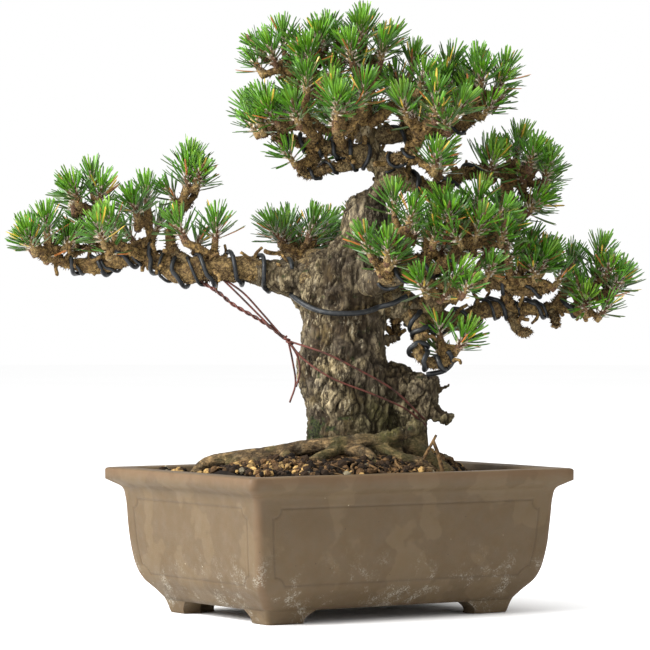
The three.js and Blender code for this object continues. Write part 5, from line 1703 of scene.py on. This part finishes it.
# Painted shade with age: the tone rises up each shoot, so the lower needles take the darker tints, both
# as older needles and as shade
tone = TONE_LOW + TONE_RISE * share + light + needle_draw.normal(0, NEEDLE_TONE, len(share))
tint = np.digitize(tone, TONE_STEPS)
odd = needle_draw.uniform(size=len(share))
tint = np.where(odd < YELLOW_SHARE, YELLOW_TINT, tint)
tint = np.where((odd > 1 - DEAD_SHARE) & (share < DEAD_BELOW), DEAD_TINT, tint)
needle_materials = [needle_finish(name, colour) for name, colour in NEEDLE_TINTS.items()]
starts = [mass_names.index(f"needles_{first}") for first in GROUPS.values()]
for group_name, first, last in zip(GROUPS, starts, [*starts[1:], mass_count]):
    chosen = keep & (shoot_masses[needle_shoot] >= first) & (shoot_masses[needle_shoot] < last)
    parts = (part[chosen] for part in (root, way, wide, bend, length))
    body, quads_each, caps_each = needle_blades(*parts)
    needles = tree_piece(f"needles_of_{group_name}", body, smooth=False)
    quad_tint = np.repeat(tint[chosen][:, None], quads_each, axis=1)
    quad_tint[:, :ROOT_FACES] = ROOT_TINT
    cap_tint = np.repeat(tint[chosen], caps_each)
    face_tint = np.concatenate([quad_tint.ravel(), cap_tint])
    deal(needles, np.arange(len(face_tint)), face_tint)
    finish_piece(needles, "needles", needle_materials, *mass_names[first:last])

# Sheaths
# Each pair of needles stands in a papery sheath, whitish grey, on the shoot. All are one joined piece
# of small three-sided tubes.
SHEATH_LENGTH = 0.0032
SHEATH_SUNK = 0.0006
SHEATH_RADIUS = 0.0008
SHEATH_TAPER = 0.75

def sheath_paper():
    """Papery sheath: grey-white with brown ends."""
    paper = Finish("sheath_paper", 0.8, specular=0.2)
    return paper.wear(paper.blend(paper.spots(0.35, 0.65, 0.0016), (128, 100, 80), (200, 192, 178)), None)


pair_keep = keep[:len(pair_root)] | keep[len(pair_root):]
root, way = pair_root[pair_keep], pair_way[pair_keep]
sheath_paths = np.stack([root - way * SHEATH_SUNK, root + way * SHEATH_LENGTH], axis=1)
sheath_radii = np.tile(SHEATH_RADIUS * np.array([1.0, SHEATH_TAPER]), (len(root), 1))
sheaths = tree_piece("needle_sheaths", tubes(sheath_paths, sheath_radii, 3))
finish_piece(sheaths, "needles", [sheath_paper()])

# Studio
# A pale floor that runs out of sight, a white surround, and two large soft lights: the main one at
# the front left and one above.
VIEW_TURN = TREE_TURN
VIEW_RISE = np.radians(0.5)
VIEW_DISTANCE = 2.624
VIEW_SHIFT = -0.00945
VIEW_HEIGHT = 0.2008
LENS = 207.6
SENSOR = 36.0
FLOOR_REACH = 9.0
FLOOR_SIDES = 64
FLOOR_SUNK = 0.0003
FLOOR_PALE = (250, 250, 250)
FLOOR_WHITE = (253, 253, 253)
LIT_HEIGHT = 0.2
VIEW_END = 100

right = np.array([np.cos(VIEW_TURN), np.sin(VIEW_TURN), 0])
back = np.array([
    np.sin(VIEW_TURN) * np.cos(VIEW_RISE),
    -np.cos(VIEW_TURN) * np.cos(VIEW_RISE),
    np.sin(VIEW_RISE),
])
aim = pot_middle + right * VIEW_SHIFT + [0, 0, VIEW_HEIGHT]


def look(thing, place, target):
    """Puts a camera or light at a place and turns it to a target."""
    thing.location = Vector(place)
    thing.rotation_mode = "QUATERNION"
    thing.rotation_quaternion = Vector(np.asarray(target) - place).to_track_quat("-Z", "Y")
    bpy.context.scene.collection.objects.link(thing)


camera_data = bpy.data.cameras.new("camera")
camera_data.sensor_width = SENSOR
camera_data.lens = LENS
camera_data.clip_end = VIEW_END
camera = bpy.data.objects.new("camera", camera_data)
look(camera, aim + back * VIEW_DISTANCE, aim)
bpy.context.scene.camera = camera

LIGHTS = [
    ("main_light", (-1.7, 0.9, 1.2), 1.2, 112),
    ("top_light", (-0.2, 0.3, 2.2), 1.8, 34),
]
for light_name, (aside, forward, rise), wide_side, power in LIGHTS:
    light_data = bpy.data.lights.new(light_name, "AREA")
    light_data.shape = "SQUARE"
    light_data.size = wide_side
    light_data.energy = power
    level_back = np.array([back[0], back[1], 0])
    place = pot_middle + right * aside + level_back * forward + [0, 0, rise]
    look(bpy.data.objects.new(light_name, light_data), place, pot_middle + [0, 0, LIT_HEIGHT])

world = bpy.data.worlds.new("surround")
world.use_nodes = True
surround = world.node_tree.nodes["Background"].inputs
surround["Color"].default_value = (1, 1, 1, 1)
surround["Strength"].default_value = 1.0
bpy.context.scene.world = world
bpy.context.scene.view_settings.view_transform = "Standard"

floor_ring = circle(full_turn(FLOOR_SIDES)) * FLOOR_REACH
floor_points = np.vstack([floor_ring, [[0, 0, 0]]]) - [0, 0, FLOOR_SUNK]
floor = mesh_piece("floor", floor_points, fan(np.arange(FLOOR_SIDES), FLOOR_SIDES, False))
paint = Finish("floor_paint", 0.9, specular=0.0)
pale = paint.blend(paint.noise(0.5, 2.0), FLOOR_PALE, FLOOR_WHITE)
floor.data.materials.append(paint.wear(pale, None))
floor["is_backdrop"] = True
